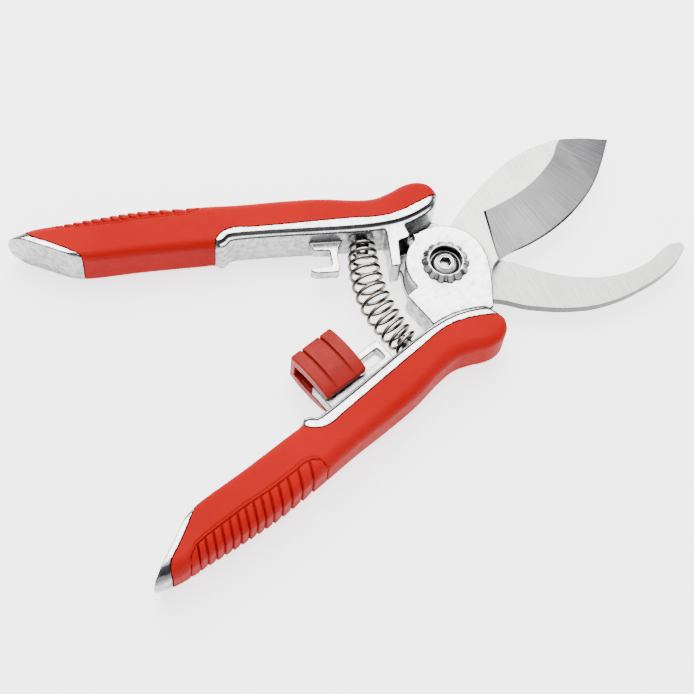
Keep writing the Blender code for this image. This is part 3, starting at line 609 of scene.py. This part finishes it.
LOOP = (-57.5, -32.1, -15.2, -5.05)
WINDOW = (-55.0, -34.0, -11.1, -7.3)
WINDOW_HALF = 5.0
FREE_BOSS, STOP_BOSS = 13.2, 12.2  # radius of the boss plates on their free side, and beside the stops
BOSS_HOLE, REAR_HOLE, REAR_RECESS, RECESS_FLOOR = 6.6, 5.5, 7.5, -5.2
EJECTOR_PLACE, EJECTOR_OUTER, EJECTOR_INNER, EJECTOR_DEPTH = (-30.8, 15.0), 1.7, 1.3, 0.25
CAST_VOXEL, CAST_PASSES, CAST_SHARE = 0.3, 6, 0.45


def lower_casting():
    casting = casting_blank("lower_casting", -1, LOWER_RIM, (1.3, 0.6))
    outline = arc(STOP_BOSS, 212, 116, 24) + [STOP_CORNER] + arc(FREE_BOSS, 106, 0, 30) + PLATE_SIDE
    plate = prism("boss_plate", outline, PLATE_IN, PLATE_OUT)
    block = prism("stop_block", mirrored(BLOCK), -BLOCK_DEPTH, PLATE_OUT)
    loop = slope_box("loop", LOOP[:2], LOOP[2:], (-LOOP_HALF, LOOP_HALF))
    combine(casting, [plate, block, loop, spring_peg("lower_peg", 1.0)], "UNION")
    window = slope_box("loop_window", WINDOW[:2], WINDOW[2:], (-WINDOW_HALF, WINDOW_HALF))
    combine(casting, [window, cylinder("boss_hole", (0, 0), BOSS_HOLE, 2, 9)])
    return softened(casting, CAST_VOXEL, CAST_PASSES, CAST_SHARE)


def upper_casting():
    casting = casting_blank("upper_casting", 1, UPPER_RIM, (2.0, 1.1))
    outline = REAR_PLATE_SIDE + arc(FREE_BOSS, 24, -100, 30) + arc(STOP_BOSS, -108, -206, 24)
    plate = prism("rear_plate", outline, -PLATE_OUT, -PLATE_IN)
    lug = prism("stop_lug", STOP_LUG, LUG_LOW, PLATE_OUT)
    hook = prism("hook", from_slope(HOOK, 1), -HOOK_HALF, HOOK_HALF)
    combine(casting, [plate, lug, hook, spring_peg("upper_peg", 0.0)], "UNION")
    mark = cylinder("ejector_mark", EJECTOR_PLACE, EJECTOR_OUTER, HOOK_HALF - EJECTOR_DEPTH, HOOK_HALF + 1)
    stay = cylinder("ejector_island", EJECTOR_PLACE, EJECTOR_INNER, HOOK_HALF - 1, HOOK_HALF + 2)
    combine(mark, [stay])
    recess = cylinder("rear_recess", (0, 0), REAR_RECESS, -9, RECESS_FLOOR)
    combine(casting, [mark, cylinder("rear_hole", (0, 0), REAR_HOLE, -9, -2), recess])
    return softened(casting, CAST_VOXEL, CAST_PASSES, CAST_SHARE)


# ---------------------------------------------------------------- blades

HEEL_X, BEVEL_UPRIGHT = 16.5, 0.93
RULED_STEPS, PAST_HIGH, PAST_LOW, CUT_ABOVE = 90, 0.06, 0.12, 6.0
HEEL_RAMP = 0.9
BLADE_BOSS = 11.8
THINNING, THIN_START, THIN_LENGTH = 2.2, 56.0, 16.0
EDGE_LAND, KEEN_LAND = 0.35, 0.04
EDGE_BEVEL, EDGE_BEVEL_RISE = 0.9, 0.75
PIVOT_HOLE = 5.5
DOWEL_HOLE = 2.0
LOWER_DOWELS = [(-5.8, -10.8), (5.4, -10.8)]
UPPER_DOWELS = [(-2.8, 11.7), (5.2, 11.2)]


def ruled_cutter(name, high_points, low_points, high_z, low_z, heel=0.0):
    """The metal ground away above a ruled face between two lines, with a steep ramp at its heel."""
    high_line = resampled(smooth_line(high_points, 30), 0.05)
    low_line = resampled(smooth_line(low_points, 30), 0.05)
    rings = []
    for step in range(RULED_STEPS):
        share = step / (RULED_STEPS - 1)
        high = high_line[round(share * (len(high_line) - 1))]
        low = low_line[round(share * (len(low_line) - 1))]
        top = high_z(high)
        across, fall = low - high, low_z - top
        start, end = high - across * PAST_HIGH, low + across * PAST_LOW
        rings.append([
            (start.x, start.y, top - fall * PAST_HIGH), (end.x, end.y, low_z + fall * PAST_LOW),
            (end.x, end.y, CUT_ABOVE), (start.x, start.y, CUT_ABOVE),
        ])
    if heel:
        ramp = [(x - heel, y, max(z, BLADE_BACK + 0.1)) for x, y, z in rings[0]]
        rings.insert(0, ramp)
    return from_rings(name, rings)


def blade_back(point):
    """The blade thins towards its tip."""
    return BLADE_BACK - THINNING * max(0.0, point.x - THIN_START) / THIN_LENGTH


def edge_height(point):
    """The keen edge's bevel starts at one height all along."""
    return BLADE_FACE + EDGE_BEVEL_RISE


def holes(places, low, high):
    made = [cylinder("pivot_hole", (0, 0), PIVOT_HOLE, low, high)]
    made += [cylinder(f"dowel_hole_{i}", place, DOWEL_HOLE, low, high, 40) for i, place in enumerate(places)]
    return made


def edge_normals(points):
    """Each point of a line with the direction square to it, on the right of its way along."""
    paired = []
    for index, point in enumerate(points):
        before, after = Vector(points[max(index - 1, 0)]), Vector(points[min(index + 1, len(points) - 1)])
        way = (after - before).normalized()
        paired.append((point, (way.y, -way.x)))
    return paired


def cutting_blade():
    outline = CUT_SPINE + CUT_EDGE + CUT_HEEL + arc(BLADE_BOSS, 212, 62, 24)
    blade = prism("cutting_blade_ground", outline, BLADE_FACE, BLADE_BACK, detail=12)
    combine(blade, holes(LOWER_DOWELS, -1, 5))
    edged(blade, 0.12, 2, 60)
    low = BLADE_FACE + EDGE_LAND
    bevel = ruled_cutter("bevel_cutter", BEVEL_LINE, BEVEL_EDGE, blade_back, low, HEEL_RAMP)
    inner_edge = [(x - EDGE_BEVEL * nx, y - EDGE_BEVEL * ny) for (x, y), (nx, ny) in edge_normals(BEVEL_EDGE)]
    keen = ruled_cutter("keen_cutter", inner_edge, BEVEL_EDGE, edge_height, BLADE_FACE + KEEN_LAND)
    combine(blade, [bevel, keen])
    return smooth_by_angle(blade, 4)


def counter_blade():
    outline = COUNTER_TANG + COUNTER_INNER + COUNTER_OUTER + arc(BLADE_BOSS, -82, -236, 24)
    blade = prism("counter_blade_ground", outline, -BLADE_BACK, -BLADE_FACE, detail=12)
    combine(blade, holes(UPPER_DOWELS, -5, 1))
    edged(blade, 0.2, 3, 60)
    return smooth_by_angle(blade, 10)


# ---------------------------------------------------------------- pivot

NUT_TEETH = 14
NUT_PROFILE = [
    (5.05, 8.25), (5.2, 8.4), (5.55, 8.4), (5.75, 8.25), (7.35, 6.98), (7.4, 6.93), (7.4, 6.88),
    (6.2, 6.88), (6.2, 4.2), (4.3, 4.2), (4.3, 5.4), (4.9, 5.4), (4.95, 8.1),
]
FLUTE_PLACE, FLUTE_HEIGHT, FLUTE_LEAN = 7.75, 7.55, math.radians(-48)
FLUTE_WIDE, FLUTE_NARROW, FLUTE_LENGTH = 1.35, 1.0, 6.0
SCREW_HEAD, SCREW_LIP, SCREW_SHANK, SOCKET_ACROSS = 4.3, 2.35, 1.9, 3.5
SCREW_LOW, HEAD_LOW, SOCKET_FLOOR = -1.4, 5.6, 5.3
DOME_MIDDLE, DOME_RISE, DOME_STEPS = 5.7, 1.75, 12


def crown_nut():
    """Fluted cone with a bright upper ring and a deep recess."""
    nut = turned("crown_nut", NUT_PROFILE, 140)
    flutes = []
    for tooth in range(NUT_TEETH):
        turn = Matrix.Rotation(2 * math.pi * (tooth + 0.5) / NUT_TEETH, 4, "Z")
        place = Matrix.Translation((FLUTE_PLACE * MM, 0, (HALF + FLUTE_HEIGHT) * MM))
        lean = Matrix.Rotation(FLUTE_LEAN, 4, "Y")

        def make(shape):
            bmesh.ops.create_cone(
                shape, cap_ends=True, segments=24, radius1=FLUTE_WIDE * MM, radius2=FLUTE_NARROW * MM,
                depth=FLUTE_LENGTH * MM,
            )

        flutes.append(solid(f"flute_{tooth}", make, turn @ place @ lean))
    combine(nut, flutes)
    return softened(nut, 0.13, 2, 0.6)


def button_screw():
    """Domed screw with a raised lip round its hexagon socket."""
    profile = [(0, 6.9), (2.2, 6.95), (SCREW_LIP, 7.28), (2.55, 7.3), (2.75, 7.16)]
    for step in range(1, DOME_STEPS + 1):
        t = math.radians(35 + 55 * step / DOME_STEPS)
        profile.append((SCREW_HEAD * math.sin(t), DOME_MIDDLE + DOME_RISE * math.cos(t)))
    profile += [
        (SCREW_HEAD - 0.1, HEAD_LOW), (SCREW_SHANK, HEAD_LOW), (SCREW_SHANK, SCREW_LOW), (0, SCREW_LOW),
    ]
    screw = turned("button_screw", profile)
    socket = cylinder("socket", (0, 0), SOCKET_ACROSS / math.sqrt(3), SOCKET_FLOOR, 9, 6)
    combine(screw, [socket])
    edged(screw, 0.08, 2, 40)
    return smooth_by_angle(screw, 35)


# ---------------------------------------------------------------- spring and latch


def coil_spring():
    count = COILS * COIL_STEPS
    centres = []
    for step in range(count + 1):
        share = step / count
        t = share - CLOSE_ENDS * math.sin(2 * math.pi * share)
        point, heading = spring_point(min(max(t, 0.0), 1.0))
        radius = COIL_END + (COIL_MIDDLE - COIL_END) * math.sin(math.pi * share) ** COIL_SWELL
        across = Vector((-heading.y, heading.x, 0))
        angle = 2 * math.pi * COILS * share
        offset = (across * math.cos(angle) + Vector((0, 0, 1)) * math.sin(angle)) * radius
        centres.append(Vector((point.x, point.y, 0)) + offset)
    rings = []
    turns = [2 * math.pi * i / WIRE_SIDES for i in range(WIRE_SIDES)]
    for index, centre in enumerate(centres):
        ahead = (centres[min(index + 1, count)] - centres[max(index - 1, 0)]).normalized()
        heading = spring_point(index / count)[1]
        first = ahead.cross(Vector((heading.x, heading.y, 0))).normalized()
        second = ahead.cross(first)
        rings.append([
            centre + (first * math.cos(turn) + second * math.sin(turn)) * WIRE / 2 for turn in turns
        ])
    spring = from_rings("coil_spring", rings)
    return smooth_by_angle(spring, 50)


KNOB_U = (-57.4, -41.8)
KNOB_N = (-11.3, 5.6)
KNOB_HALF, KNOB_EDGE = 7.3, 5.6  # half thickness of the knob in its middle and at its two ends
GROOVES = (-53.2, -46.3)
KNOB_GROOVE, KNOB_GROOVE_HALF = 0.65, 0.32
KNOB_CROWN, CROWN_MIDDLE, CROWN_POWER = 24, 1.05, 2.4
KNOB_ENDS = [(0.0, 0.5), (0.15, 0.2), (0.5, 0.0)]  # place in from an end, and how much smaller the outline is
SLOT_HALF, SLOT_TOP = 2.9, 3.5
PIN_AT, PIN_HOLE, PIN_DEPTH = (-50.5, -9.2), 1.6, 4.9


def knob_ring(u, low, high, smaller):
    """The knob's crowned outline at one place along the loop, with its half thickness made smaller."""
    half = []
    for step in range(KNOB_CROWN + 1):
        share = step / KNOB_CROWN
        bulge = 1 - abs(2 * share - CROWN_MIDDLE) ** CROWN_POWER
        half.append((low + (high - low) * share, KNOB_EDGE + (KNOB_HALF - KNOB_EDGE) * bulge - smaller))
    ring = half + [(n, -z) for n, z in reversed(half)]
    placed = from_slope([(u, -n) for n, z in ring], -1)
    return [(x, y, z) for (x, y), (n, z) in zip(placed, ring)]


def slider_knob():
    """Barrel-sided slider with two grooves and a through slot that straddles the loop."""
    low, high = KNOB_N
    ends = [(KNOB_U[0] + place, inset) for place, inset in KNOB_ENDS]
    ends += [(KNOB_U[1] - place, inset) for place, inset in reversed(KNOB_ENDS)]
    knob = from_rings("slider_knob", [knob_ring(u, low + inset, high - inset, inset) for u, inset in ends])
    slot = slope_box("knob_slot", (-60, -38), (low - 2, SLOT_TOP), (-SLOT_HALF, SLOT_HALF))
    wide = slope_box("knob_slot_mouth", (-60, -56.6), (low - 2, 0.6), (-SLOT_HALF - 0.5, SLOT_HALF + 0.5))
    cuts = [slot, wide]
    for number, groove in enumerate(GROOVES):
        sides = (groove - KNOB_GROOVE_HALF, groove + KNOB_GROOVE_HALF)
        ring_cut = slope_box(f"groove_{number}", sides, (-15, 8), (-9, 9))
        inner = [knob_ring(u, low - 1, high - 0.5, KNOB_GROOVE) for u in (groove - 0.4, groove + 0.4)]
        combine(ring_cut, [from_rings(f"groove_core_{number}", inner)])
        cuts.append(ring_cut)
    pin = Matrix.Rotation(SLOPE, 4, "Z") @ Vector((*PIN_AT, 0))
    cuts.append(cylinder("knob_pin_hole", (pin.x, pin.y), PIN_HOLE, -PIN_DEPTH, PIN_DEPTH))
    combine(knob, cuts)
    return softened(knob, 0.2, 3, 0.5)


# ---------------------------------------------------------------- materials


class Shader:
    """Small helper that adds nodes to one material and links them."""

    def __init__(self, name, colour, roughness, metallic=0.0):
        self.material = bpy.data.materials.new(name)
        self.material.use_nodes = True
        self.tree = self.material.node_tree
        self.main = self.tree.nodes["Principled BSDF"]
        self.main.inputs["Base Color"].default_value = (*colour, 1.0)
        self.main.inputs["Roughness"].default_value = roughness
        self.main.inputs["Metallic"].default_value = metallic
        self.material.diffuse_color = (*colour, 1.0)
        self.place = self.node("ShaderNodeTexCoord").outputs["Object"]

    def node(self, kind, **settings):
        made = self.tree.nodes.new(kind)
        for name, value in settings.items():
            setattr(made, name, value)
        return made

    def link(self, start, end):
        self.tree.links.new(start, end)
        return self

    def mapped(self, scale=(1, 1, 1), turn=0.0, shift=(0, 0, 0)):
        mapping = self.node("ShaderNodeMapping")
        mapping.inputs["Scale"].default_value = scale
        mapping.inputs["Rotation"].default_value = (0, 0, turn)
        mapping.inputs["Location"].default_value = shift
        self.link(self.place, mapping.inputs["Vector"])
        return mapping.outputs["Vector"]

    def noise(self, scale, detail, rough, vector=None):
        made = self.node("ShaderNodeTexNoise")
        made.inputs["Scale"].default_value = scale
        made.inputs["Detail"].default_value = detail
        made.inputs["Roughness"].default_value = rough
        self.link(vector or self.place, made.inputs["Vector"])
        return made.outputs["Fac"]

    def spread(self, value, low, high, start=0.3, end=0.7):
        """A noise value brought to the range low to high."""
        made = self.node("ShaderNodeMapRange")
        made.inputs["From Min"].default_value = start
        made.inputs["From Max"].default_value = end
        made.inputs["To Min"].default_value = low
        made.inputs["To Max"].default_value = high
        self.link(value, made.inputs["Value"])
        return made.outputs["Result"]

    def math(self, operation, first, second):
        made = self.node("ShaderNodeMath", operation=operation)
        for socket, value in zip(made.inputs, (first, second)):
            if isinstance(value, (int, float)):
                socket.default_value = value
            else:
                self.link(value, socket)
        return made.outputs["Value"]

    def rough(self, value):
        return self.link(value, self.main.inputs["Roughness"])

    def mixed(self, value, low, high):
        """A colour between two, each of them a colour or another mix's output."""
        made = self.node("ShaderNodeMix", data_type="RGBA")
        self.link(value, made.inputs["Factor"])
        for socket, colour in zip((made.inputs[6], made.inputs[7]), (low, high)):
            if isinstance(colour, tuple):
                socket.default_value = (*colour, 1.0)
            else:
                self.link(colour, socket)
        return made.outputs[2]

    def upright(self):
        """1 on level faces, 0 on walls."""
        parts = self.node("ShaderNodeSeparateXYZ")
        self.link(self.node("ShaderNodeTexCoord").outputs["Normal"], parts.inputs["Vector"])
        return self.math("ABSOLUTE", parts.outputs["Z"], 0.0)

    def painted_facing_shade(self, top_start, top_end, wall):
        """Painted highlight and shade by facing: 1 on level faces and less on walls, with painted dark edges
        and slopes between them.
        """
        upright = self.upright()
        top = self.spread(upright, 0, 1, top_start, top_end)
        side = self.math("MULTIPLY", self.spread(upright, 1, 0, 0.05, 0.4), wall)
        return self.math("MAXIMUM", top, side)

    def painted_hollow_shade(self, distance, power):
        """Painted shade in hollows, from ambient occlusion: 1 in the open and less in grooves and corners."""
        made = self.node("ShaderNodeAmbientOcclusion", samples=6)
        made.inputs["Distance"].default_value = distance * MM
        return self.math("POWER", made.outputs["AO"], power)

    def bump(self, height, distance, below=None):
        made = self.node("ShaderNodeBump")
        made.inputs["Strength"].default_value = 1.0
        made.inputs["Distance"].default_value = distance * MM
        self.link(height, made.inputs["Height"])
        if below:
            self.link(below, made.inputs["Normal"])
        self.link(made.outputs["Normal"], self.main.inputs["Normal"])
        return made.outputs["Normal"]


FLOOR_GLOW = 2.4


def cast_metal():
    """Polished die casting with fine mottling; its level faces are painted bright and its rounded edges,
    walls and corners painted dark, as painted reflection and shade.
    """
    made = Shader("cast_metal", (0.86, 0.87, 0.88), 0.24, 1.0)
    mottle = made.noise(520, 4, 0.62)
    patches = made.noise(130, 3, 0.6)
    fine = made.noise(1700, 4, 0.65)
    made.rough(made.spread(made.math("ADD", mottle, made.math("MULTIPLY", fine, 0.5)), 0.16, 0.4, 0.6, 0.95))
    worn = made.spread(mottle, 0, 1, 0.38, 0.7)
    wear = made.math("MULTIPLY", worn, made.spread(patches, 0.2, 1, 0.36, 0.62))
    face = made.mixed(wear, (0.92, 0.93, 0.94), (0.6, 0.61, 0.62))
    # Painted shade: walls are painted at a mottled mid level, edges and slopes dark, and corners darker
    # still, towards the dark colour below.
    wall = made.spread(mottle, 0.42, 0.24, 0.4, 0.66)
    shade = made.math("MULTIPLY", made.painted_facing_shade(0.9, 0.99, wall), made.painted_hollow_shade(4.0, 1.6))
    made.link(made.mixed(shade, (0.08, 0.08, 0.085), face), made.main.inputs["Base Color"])
    waves = made.bump(made.noise(260, 2, 0.5), 0.12)
    made.bump(fine, 0.03, below=waves)
    return made.material


def soft_grip():
    """Matte soft vinyl with a fine grain and slight unevenness, with painted shade on its sides and in its
    grooves and rib lines.
    """
    made = Shader("soft_grip", (0.36, 0.005, 0.004), 0.6)
    made.main.inputs["Specular IOR Level"].default_value = 0.03
    broad = made.noise(45, 3, 0.5)
    fine = made.noise(5200, 2, 0.5)
    face = made.mixed(made.spread(broad, 0, 1), (0.43, 0.0065, 0.006), (0.38, 0.005, 0.0045))
    # Painted shade: sides are painted darker than the level faces, and grooves and corners darker still.
    side = made.spread(made.upright(), 0.5, 1, 0.1, 0.85)
    shade = made.math("MULTIPLY", made.painted_hollow_shade(1.3, 1.3), side)
    made.link(made.mixed(shade, (0.17, 0.002, 0.002), face), made.main.inputs["Base Color"])
    made.rough(made.spread(made.noise(420, 3, 0.6), 0.44, 0.6))
    under = made.bump(made.noise(700, 2, 0.5), 0.02)
    made.bump(fine, 0.02, below=under)
    return made.material


def moulded_knob():
    """Harder moulded plastic with a slight sheen, painted darker in its slot, grooves and corners as shade.
    """
    made = Shader("moulded_knob", (0.62, 0.075, 0.06), 0.42)
    made.main.inputs["Specular IOR Level"].default_value = 0.12
    face = made.mixed(made.spread(made.noise(260, 4, 0.6), 0, 1), (0.33, 0.014, 0.011), (0.26, 0.009, 0.007))
    # Painted shade in hollows, mixed towards a dark red.
    made.link(made.mixed(made.painted_hollow_shade(1.6, 0.9), (0.07, 0.0, 0.0), face), made.main.inputs["Base Color"])
    made.rough(made.spread(made.noise(900, 3, 0.6), 0.34, 0.52))
    made.bump(made.noise(2600, 3, 0.5), 0.025)
    return made.material


ACROSS_SCRATCHES, ALONG_SCRATCHES = 3400, 120  # how fast the scratches change across and along them


def brushed(name, colour, turn, roughness):
    """Satin steel with fine short parallel scratches, with painted shade on its walls and slopes and a
    painted contact shadow in its corners and beside other parts.
    """
    made = Shader(name, colour, roughness, 1.0)
    stretched = made.mapped((ACROSS_SCRATCHES, ALONG_SCRATCHES, ALONG_SCRATCHES), turn)
    lines = made.noise(1, 4, 0.6, vector=stretched)
    cloud = made.noise(90, 3, 0.6)
    made.rough(made.spread(lines, roughness - 0.04, roughness + 0.08, 0.35, 0.65))
    bright_one = tuple(channel * 1.07 for channel in colour)
    dark = tuple(channel * 0.84 for channel in colour)
    both = made.math("ADD", made.math("MULTIPLY", lines, 0.72), made.math("MULTIPLY", cloud, 0.28))
    face = made.mixed(made.spread(both, 0, 1, 0.38, 0.62), bright_one, dark)
    # Painted shade: walls and slopes dark by facing, and a painted contact shadow from ambient occlusion.
    shade = made.math("MULTIPLY", made.painted_facing_shade(0.8, 0.99, 0.14), made.painted_hollow_shade(2.6, 1.3))
    made.link(made.mixed(shade, (0.04, 0.04, 0.042), face), made.main.inputs["Base Color"])
    made.bump(lines, 0.006)
    return made.material


ARC_CENTRE = (18.6, 64.1)
FAN_LINES = 210.0


def ground_bevel():
    """Grinding marks that fan out across the bevel, square to the cutting edge."""
    made = Shader("ground_bevel", (0.22, 0.22, 0.225), 0.36, 1.0)
    moved = made.mapped(shift=(-ARC_CENTRE[0] * MM, -ARC_CENTRE[1] * MM, 0))
    parts = made.node("ShaderNodeSeparateXYZ")
    made.link(moved, parts.inputs["Vector"])
    angle = made.math("ARCTAN2", parts.outputs["Y"], parts.outputs["X"])
    joined = made.node("ShaderNodeCombineXYZ")
    made.link(made.math("MULTIPLY", angle, FAN_LINES), joined.inputs["X"])
    made.link(made.math("MULTIPLY", parts.outputs["Y"], 40.0), joined.inputs["Y"])
    lines = made.noise(1, 3, 0.7, vector=joined.outputs["Vector"])
    broad = made.noise(60, 3, 0.6)
    mixed = made.math("ADD", made.math("MULTIPLY", lines, 0.75), made.math("MULTIPLY", broad, 0.25))
    face = made.mixed(made.spread(mixed, 0, 1, 0.38, 0.62), (0.125, 0.125, 0.13), (0.31, 0.31, 0.315))
    along = made.node("ShaderNodeSeparateXYZ")
    made.link(made.place, along.inputs["Vector"])
    to_tip = made.spread(along.outputs["X"], 0, 0.6, 0.03, 0.072)
    made.link(made.mixed(to_tip, face, (0.06, 0.06, 0.063)), made.main.inputs["Base Color"])
    made.rough(made.spread(lines, 0.3, 0.46))
    made.bump(lines, 0.02)
    return made.material


def bright(name, colour, low, high, edges=(0.25, 0.98, 0.5), corner=1.6):
    """Plated metal with slight tarnish and fine scratches, with painted shade on its slopes and in its
    hollows.
    """
    made = Shader(name, colour, (low + high) / 2, 1.0)
    made.rough(made.spread(made.noise(700, 4, 0.6), low, high))
    dull = tuple(channel * 0.72 for channel in colour)
    face = made.mixed(made.spread(made.noise(620, 4, 0.65), 0, 1, 0.42, 0.68), colour, dull)
    # edges sets the painted shade by facing, and corner how far the painted shade in hollows reaches.
    shade = made.math("MULTIPLY", made.painted_facing_shade(*edges), made.painted_hollow_shade(corner, 1.4))
    made.link(made.mixed(shade, (0.03, 0.03, 0.032), face), made.main.inputs["Base Color"])
    made.bump(made.noise(1400, 3, 0.6), 0.02)
    return made.material


def wound_wire():
    """Nickel-plated spring wire, with a painted highlight where it faces up and painted dark edges along its
    slopes.
    """
    made = Shader("nickel_wire", (0.5, 0.46, 0.4), 0.2, 1.0)
    made.rough(made.spread(made.noise(900, 4, 0.6), 0.1, 0.24))
    tarnish = made.spread(made.noise(300, 4, 0.65), 0, 1, 0.4, 0.65)
    face = made.mixed(tarnish, (0.6, 0.56, 0.49), (0.26, 0.22, 0.16))
    # Painted highlight and shade by facing, mixed towards a near-black brown.
    shade = made.painted_facing_shade(0.55, 1.0, 0.32)
    made.link(made.mixed(shade, (0.03, 0.024, 0.018), face), made.main.inputs["Base Color"])
    made.bump(made.noise(2400, 3, 0.6), 0.015)
    return made.material


CAST = cast_metal()
GRIP = soft_grip()
KNOB = moulded_knob()
FLAT_STEEL = brushed("flat_steel", (0.6, 0.6, 0.58), math.radians(30), 0.36)
COUNTER_STEEL = brushed("counter_steel", (0.46, 0.46, 0.447), math.radians(-28), 0.36)
BEVEL_STEEL = ground_bevel()
EDGE_STEEL = bright("edge_steel", (0.15, 0.15, 0.15), 0.28, 0.42, edges=(0.2, 0.5, 0.6))
WIRE_NICKEL = wound_wire()
NICKEL = bright("nickel", (0.72, 0.7, 0.67), 0.12, 0.3)
PLATE = bright("bright_plate", (0.8, 0.8, 0.8), 0.12, 0.3)
NUT_PLATE = bright("nut_plate", (0.85, 0.85, 0.86), 0.12, 0.3, edges=(0.3, 0.9, 0.16), corner=2.4)
SCREW_PLATE = bright("screw_plate", (0.74, 0.74, 0.75), 0.12, 0.3, edges=(0.4, 0.9, 0.1), corner=2.0)
BRONZE = bright("bronze", (0.6, 0.42, 0.2), 0.3, 0.45)

# ---------------------------------------------------------------- the object

piece(lower_casting(), CAST, "lower", "casting", "lower_handle")
piece(upper_casting(), CAST, "upper", "casting", "upper_handle")
piece(grip_piece("lower_sleeve", -1, LOWER_RIM), GRIP, "lower", "grip", "lower_grip")
piece(grip_piece("upper_sleeve", 1, UPPER_RIM), GRIP, "upper", "grip", "upper_grip")

blade = piece(cutting_blade(), FLAT_STEEL, "lower", "blade", "cutting_blade")
blade.data.materials.append(BEVEL_STEEL)
blade.data.materials.append(EDGE_STEEL)
for face in blade.data.polygons:
    if face.center.x < HEEL_X * MM or not 0.05 < face.normal.z < 0.9995:
        continue
    face.material_index = 1 if face.normal.z > BEVEL_UPRIGHT else 2
piece(counter_blade(), COUNTER_STEEL, "upper", "blade", "counter_blade")
piece(crown_nut(), NUT_PLATE, "lower", "nut", "adjusting_nut")
piece(button_screw(), SCREW_PLATE, "lower", "steel", "lock_screw")
piece(slider_knob(), KNOB, "latch", "knob", "latch_knob")

spring = coil_spring()
spring.data.materials.append(WIRE_NICKEL)
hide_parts("return_spring")
ends = [Vector((p.x * MM, p.y * MM, HALF * MM)) for p in (spring_point(0.97)[0], spring_point(0.03)[0])]
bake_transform(spring)

CARRIED = {
    "cutting_blade_dowel_1": PLATE, "cutting_blade_dowel_2": PLATE, "counter_blade_dowel_1": PLATE,
    "counter_blade_dowel_2": PLATE, "pivot_bolt": PLATE, "pivot_bush": BRONZE, "spring_washer": NICKEL,
    "latch_pin": PLATE,
}
for node_name, node_material in CARRIED.items():
    for material_slot in nodes[node_name].material_slots:
        material_slot.material = node_material

# ---------------------------------------------------------------- stage, light and camera


def plain(name, colour, roughness):
    """Even pale paper that glows a little, as under a light tent."""
    made = Shader(name, colour, roughness)
    made.main.inputs["Emission Color"].default_value = (1, 1, 1, 1)
    made.main.inputs["Emission Strength"].default_value = FLOOR_GLOW
    made.rough(made.spread(made.noise(8, 2, 0.5), roughness - 0.03, roughness + 0.03))
    return made.material


FLOOR_SIZE = 4.0
floor_shape = bmesh.new()
bmesh.ops.create_grid(floor_shape, x_segments=1, y_segments=1, size=FLOOR_SIZE)
floor_mesh = bpy.data.meshes.new("floor")
floor_shape.to_mesh(floor_mesh)
floor_shape.free()
floor = add("floor", floor_mesh)
floor.data.materials.append(plain("pale_floor", (0.93, 0.93, 0.93), 0.7))


def softbox(name, place, size, power):
    """A soft rectangular light that faces the pivot."""
    light = bpy.data.lights.new(name, "AREA")
    light.shape = "RECTANGLE"
    light.size, light.size_y = size
    light.energy = power
    made = bpy.data.objects.new(name, light)
    made.location = place
    made.rotation_euler = (-Vector(place)).to_track_quat("-Z", "Y").to_euler()
    bpy.context.scene.collection.objects.link(made)


MIRROR_SIDE = Vector((0.10, 0.52, 0.85)).normalized()  # where flat front faces reflect the camera's view to
softbox("overhead", MIRROR_SIDE * 0.8, (1.05, 0.95), 17.0)
softbox("side", (0.85, -0.2, 0.45), (0.25, 0.6), 1.2)
softbox("front", (-0.5, -0.7, 0.25), (0.7, 0.18), 1.0)

world = bpy.data.worlds.new("studio")
world.use_nodes = True
world_tree = world.node_tree
world_place = world_tree.nodes.new("ShaderNodeTexCoord")
world_parts = world_tree.nodes.new("ShaderNodeSeparateXYZ")
world_ramp = world_tree.nodes.new("ShaderNodeValToRGB")
world_tree.links.new(world_place.outputs["Generated"], world_parts.inputs["Vector"])
world_tree.links.new(world_parts.outputs["Z"], world_ramp.inputs["Fac"])
world_tree.links.new(world_ramp.outputs["Color"], world_tree.nodes["Background"].inputs["Color"])
SKY_STRENGTH = 1.1
SKY = [(0.0, 0.02), (0.22, 0.03), (0.42, 0.5), (0.7, 0.9), (1.0, 1.0)]
for index, (height, level) in enumerate(SKY):
    ramp = world_ramp.color_ramp.elements
    stop = ramp[index] if index < 2 else ramp.new(height)
    stop.position = height
    stop.color = (level, level, level, 1)
world_tree.nodes["Background"].inputs["Strength"].default_value = SKY_STRENGTH
bpy.context.scene.world = world

SENSOR, LENS = 36.0, 88.19
CAMERA_PLACE = (-160.40, -207.80, 458.16)
CAMERA_RIGHT = (0.90706, -0.41611, 0.06396)
CAMERA_DOWN = (-0.34709, -0.82514, -0.44573)
CAMERA_AHEAD = (0.23825, 0.38210, -0.89288)
camera = bpy.data.objects.new("camera", bpy.data.cameras.new("camera"))
axes = (Vector(CAMERA_RIGHT), -Vector(CAMERA_DOWN), -Vector(CAMERA_AHEAD))
turn = Matrix(axes).transposed()
camera_at = Vector(CAMERA_PLACE) * MM + Vector((0, 0, HALF * MM))
camera.matrix_world = Matrix.Translation(camera_at) @ turn.to_4x4()
camera.data.sensor_width = SENSOR
camera.data.lens = LENS
camera.data.clip_start = 0.01
bpy.context.scene.collection.objects.link(camera)
bpy.context.scene.camera = camera
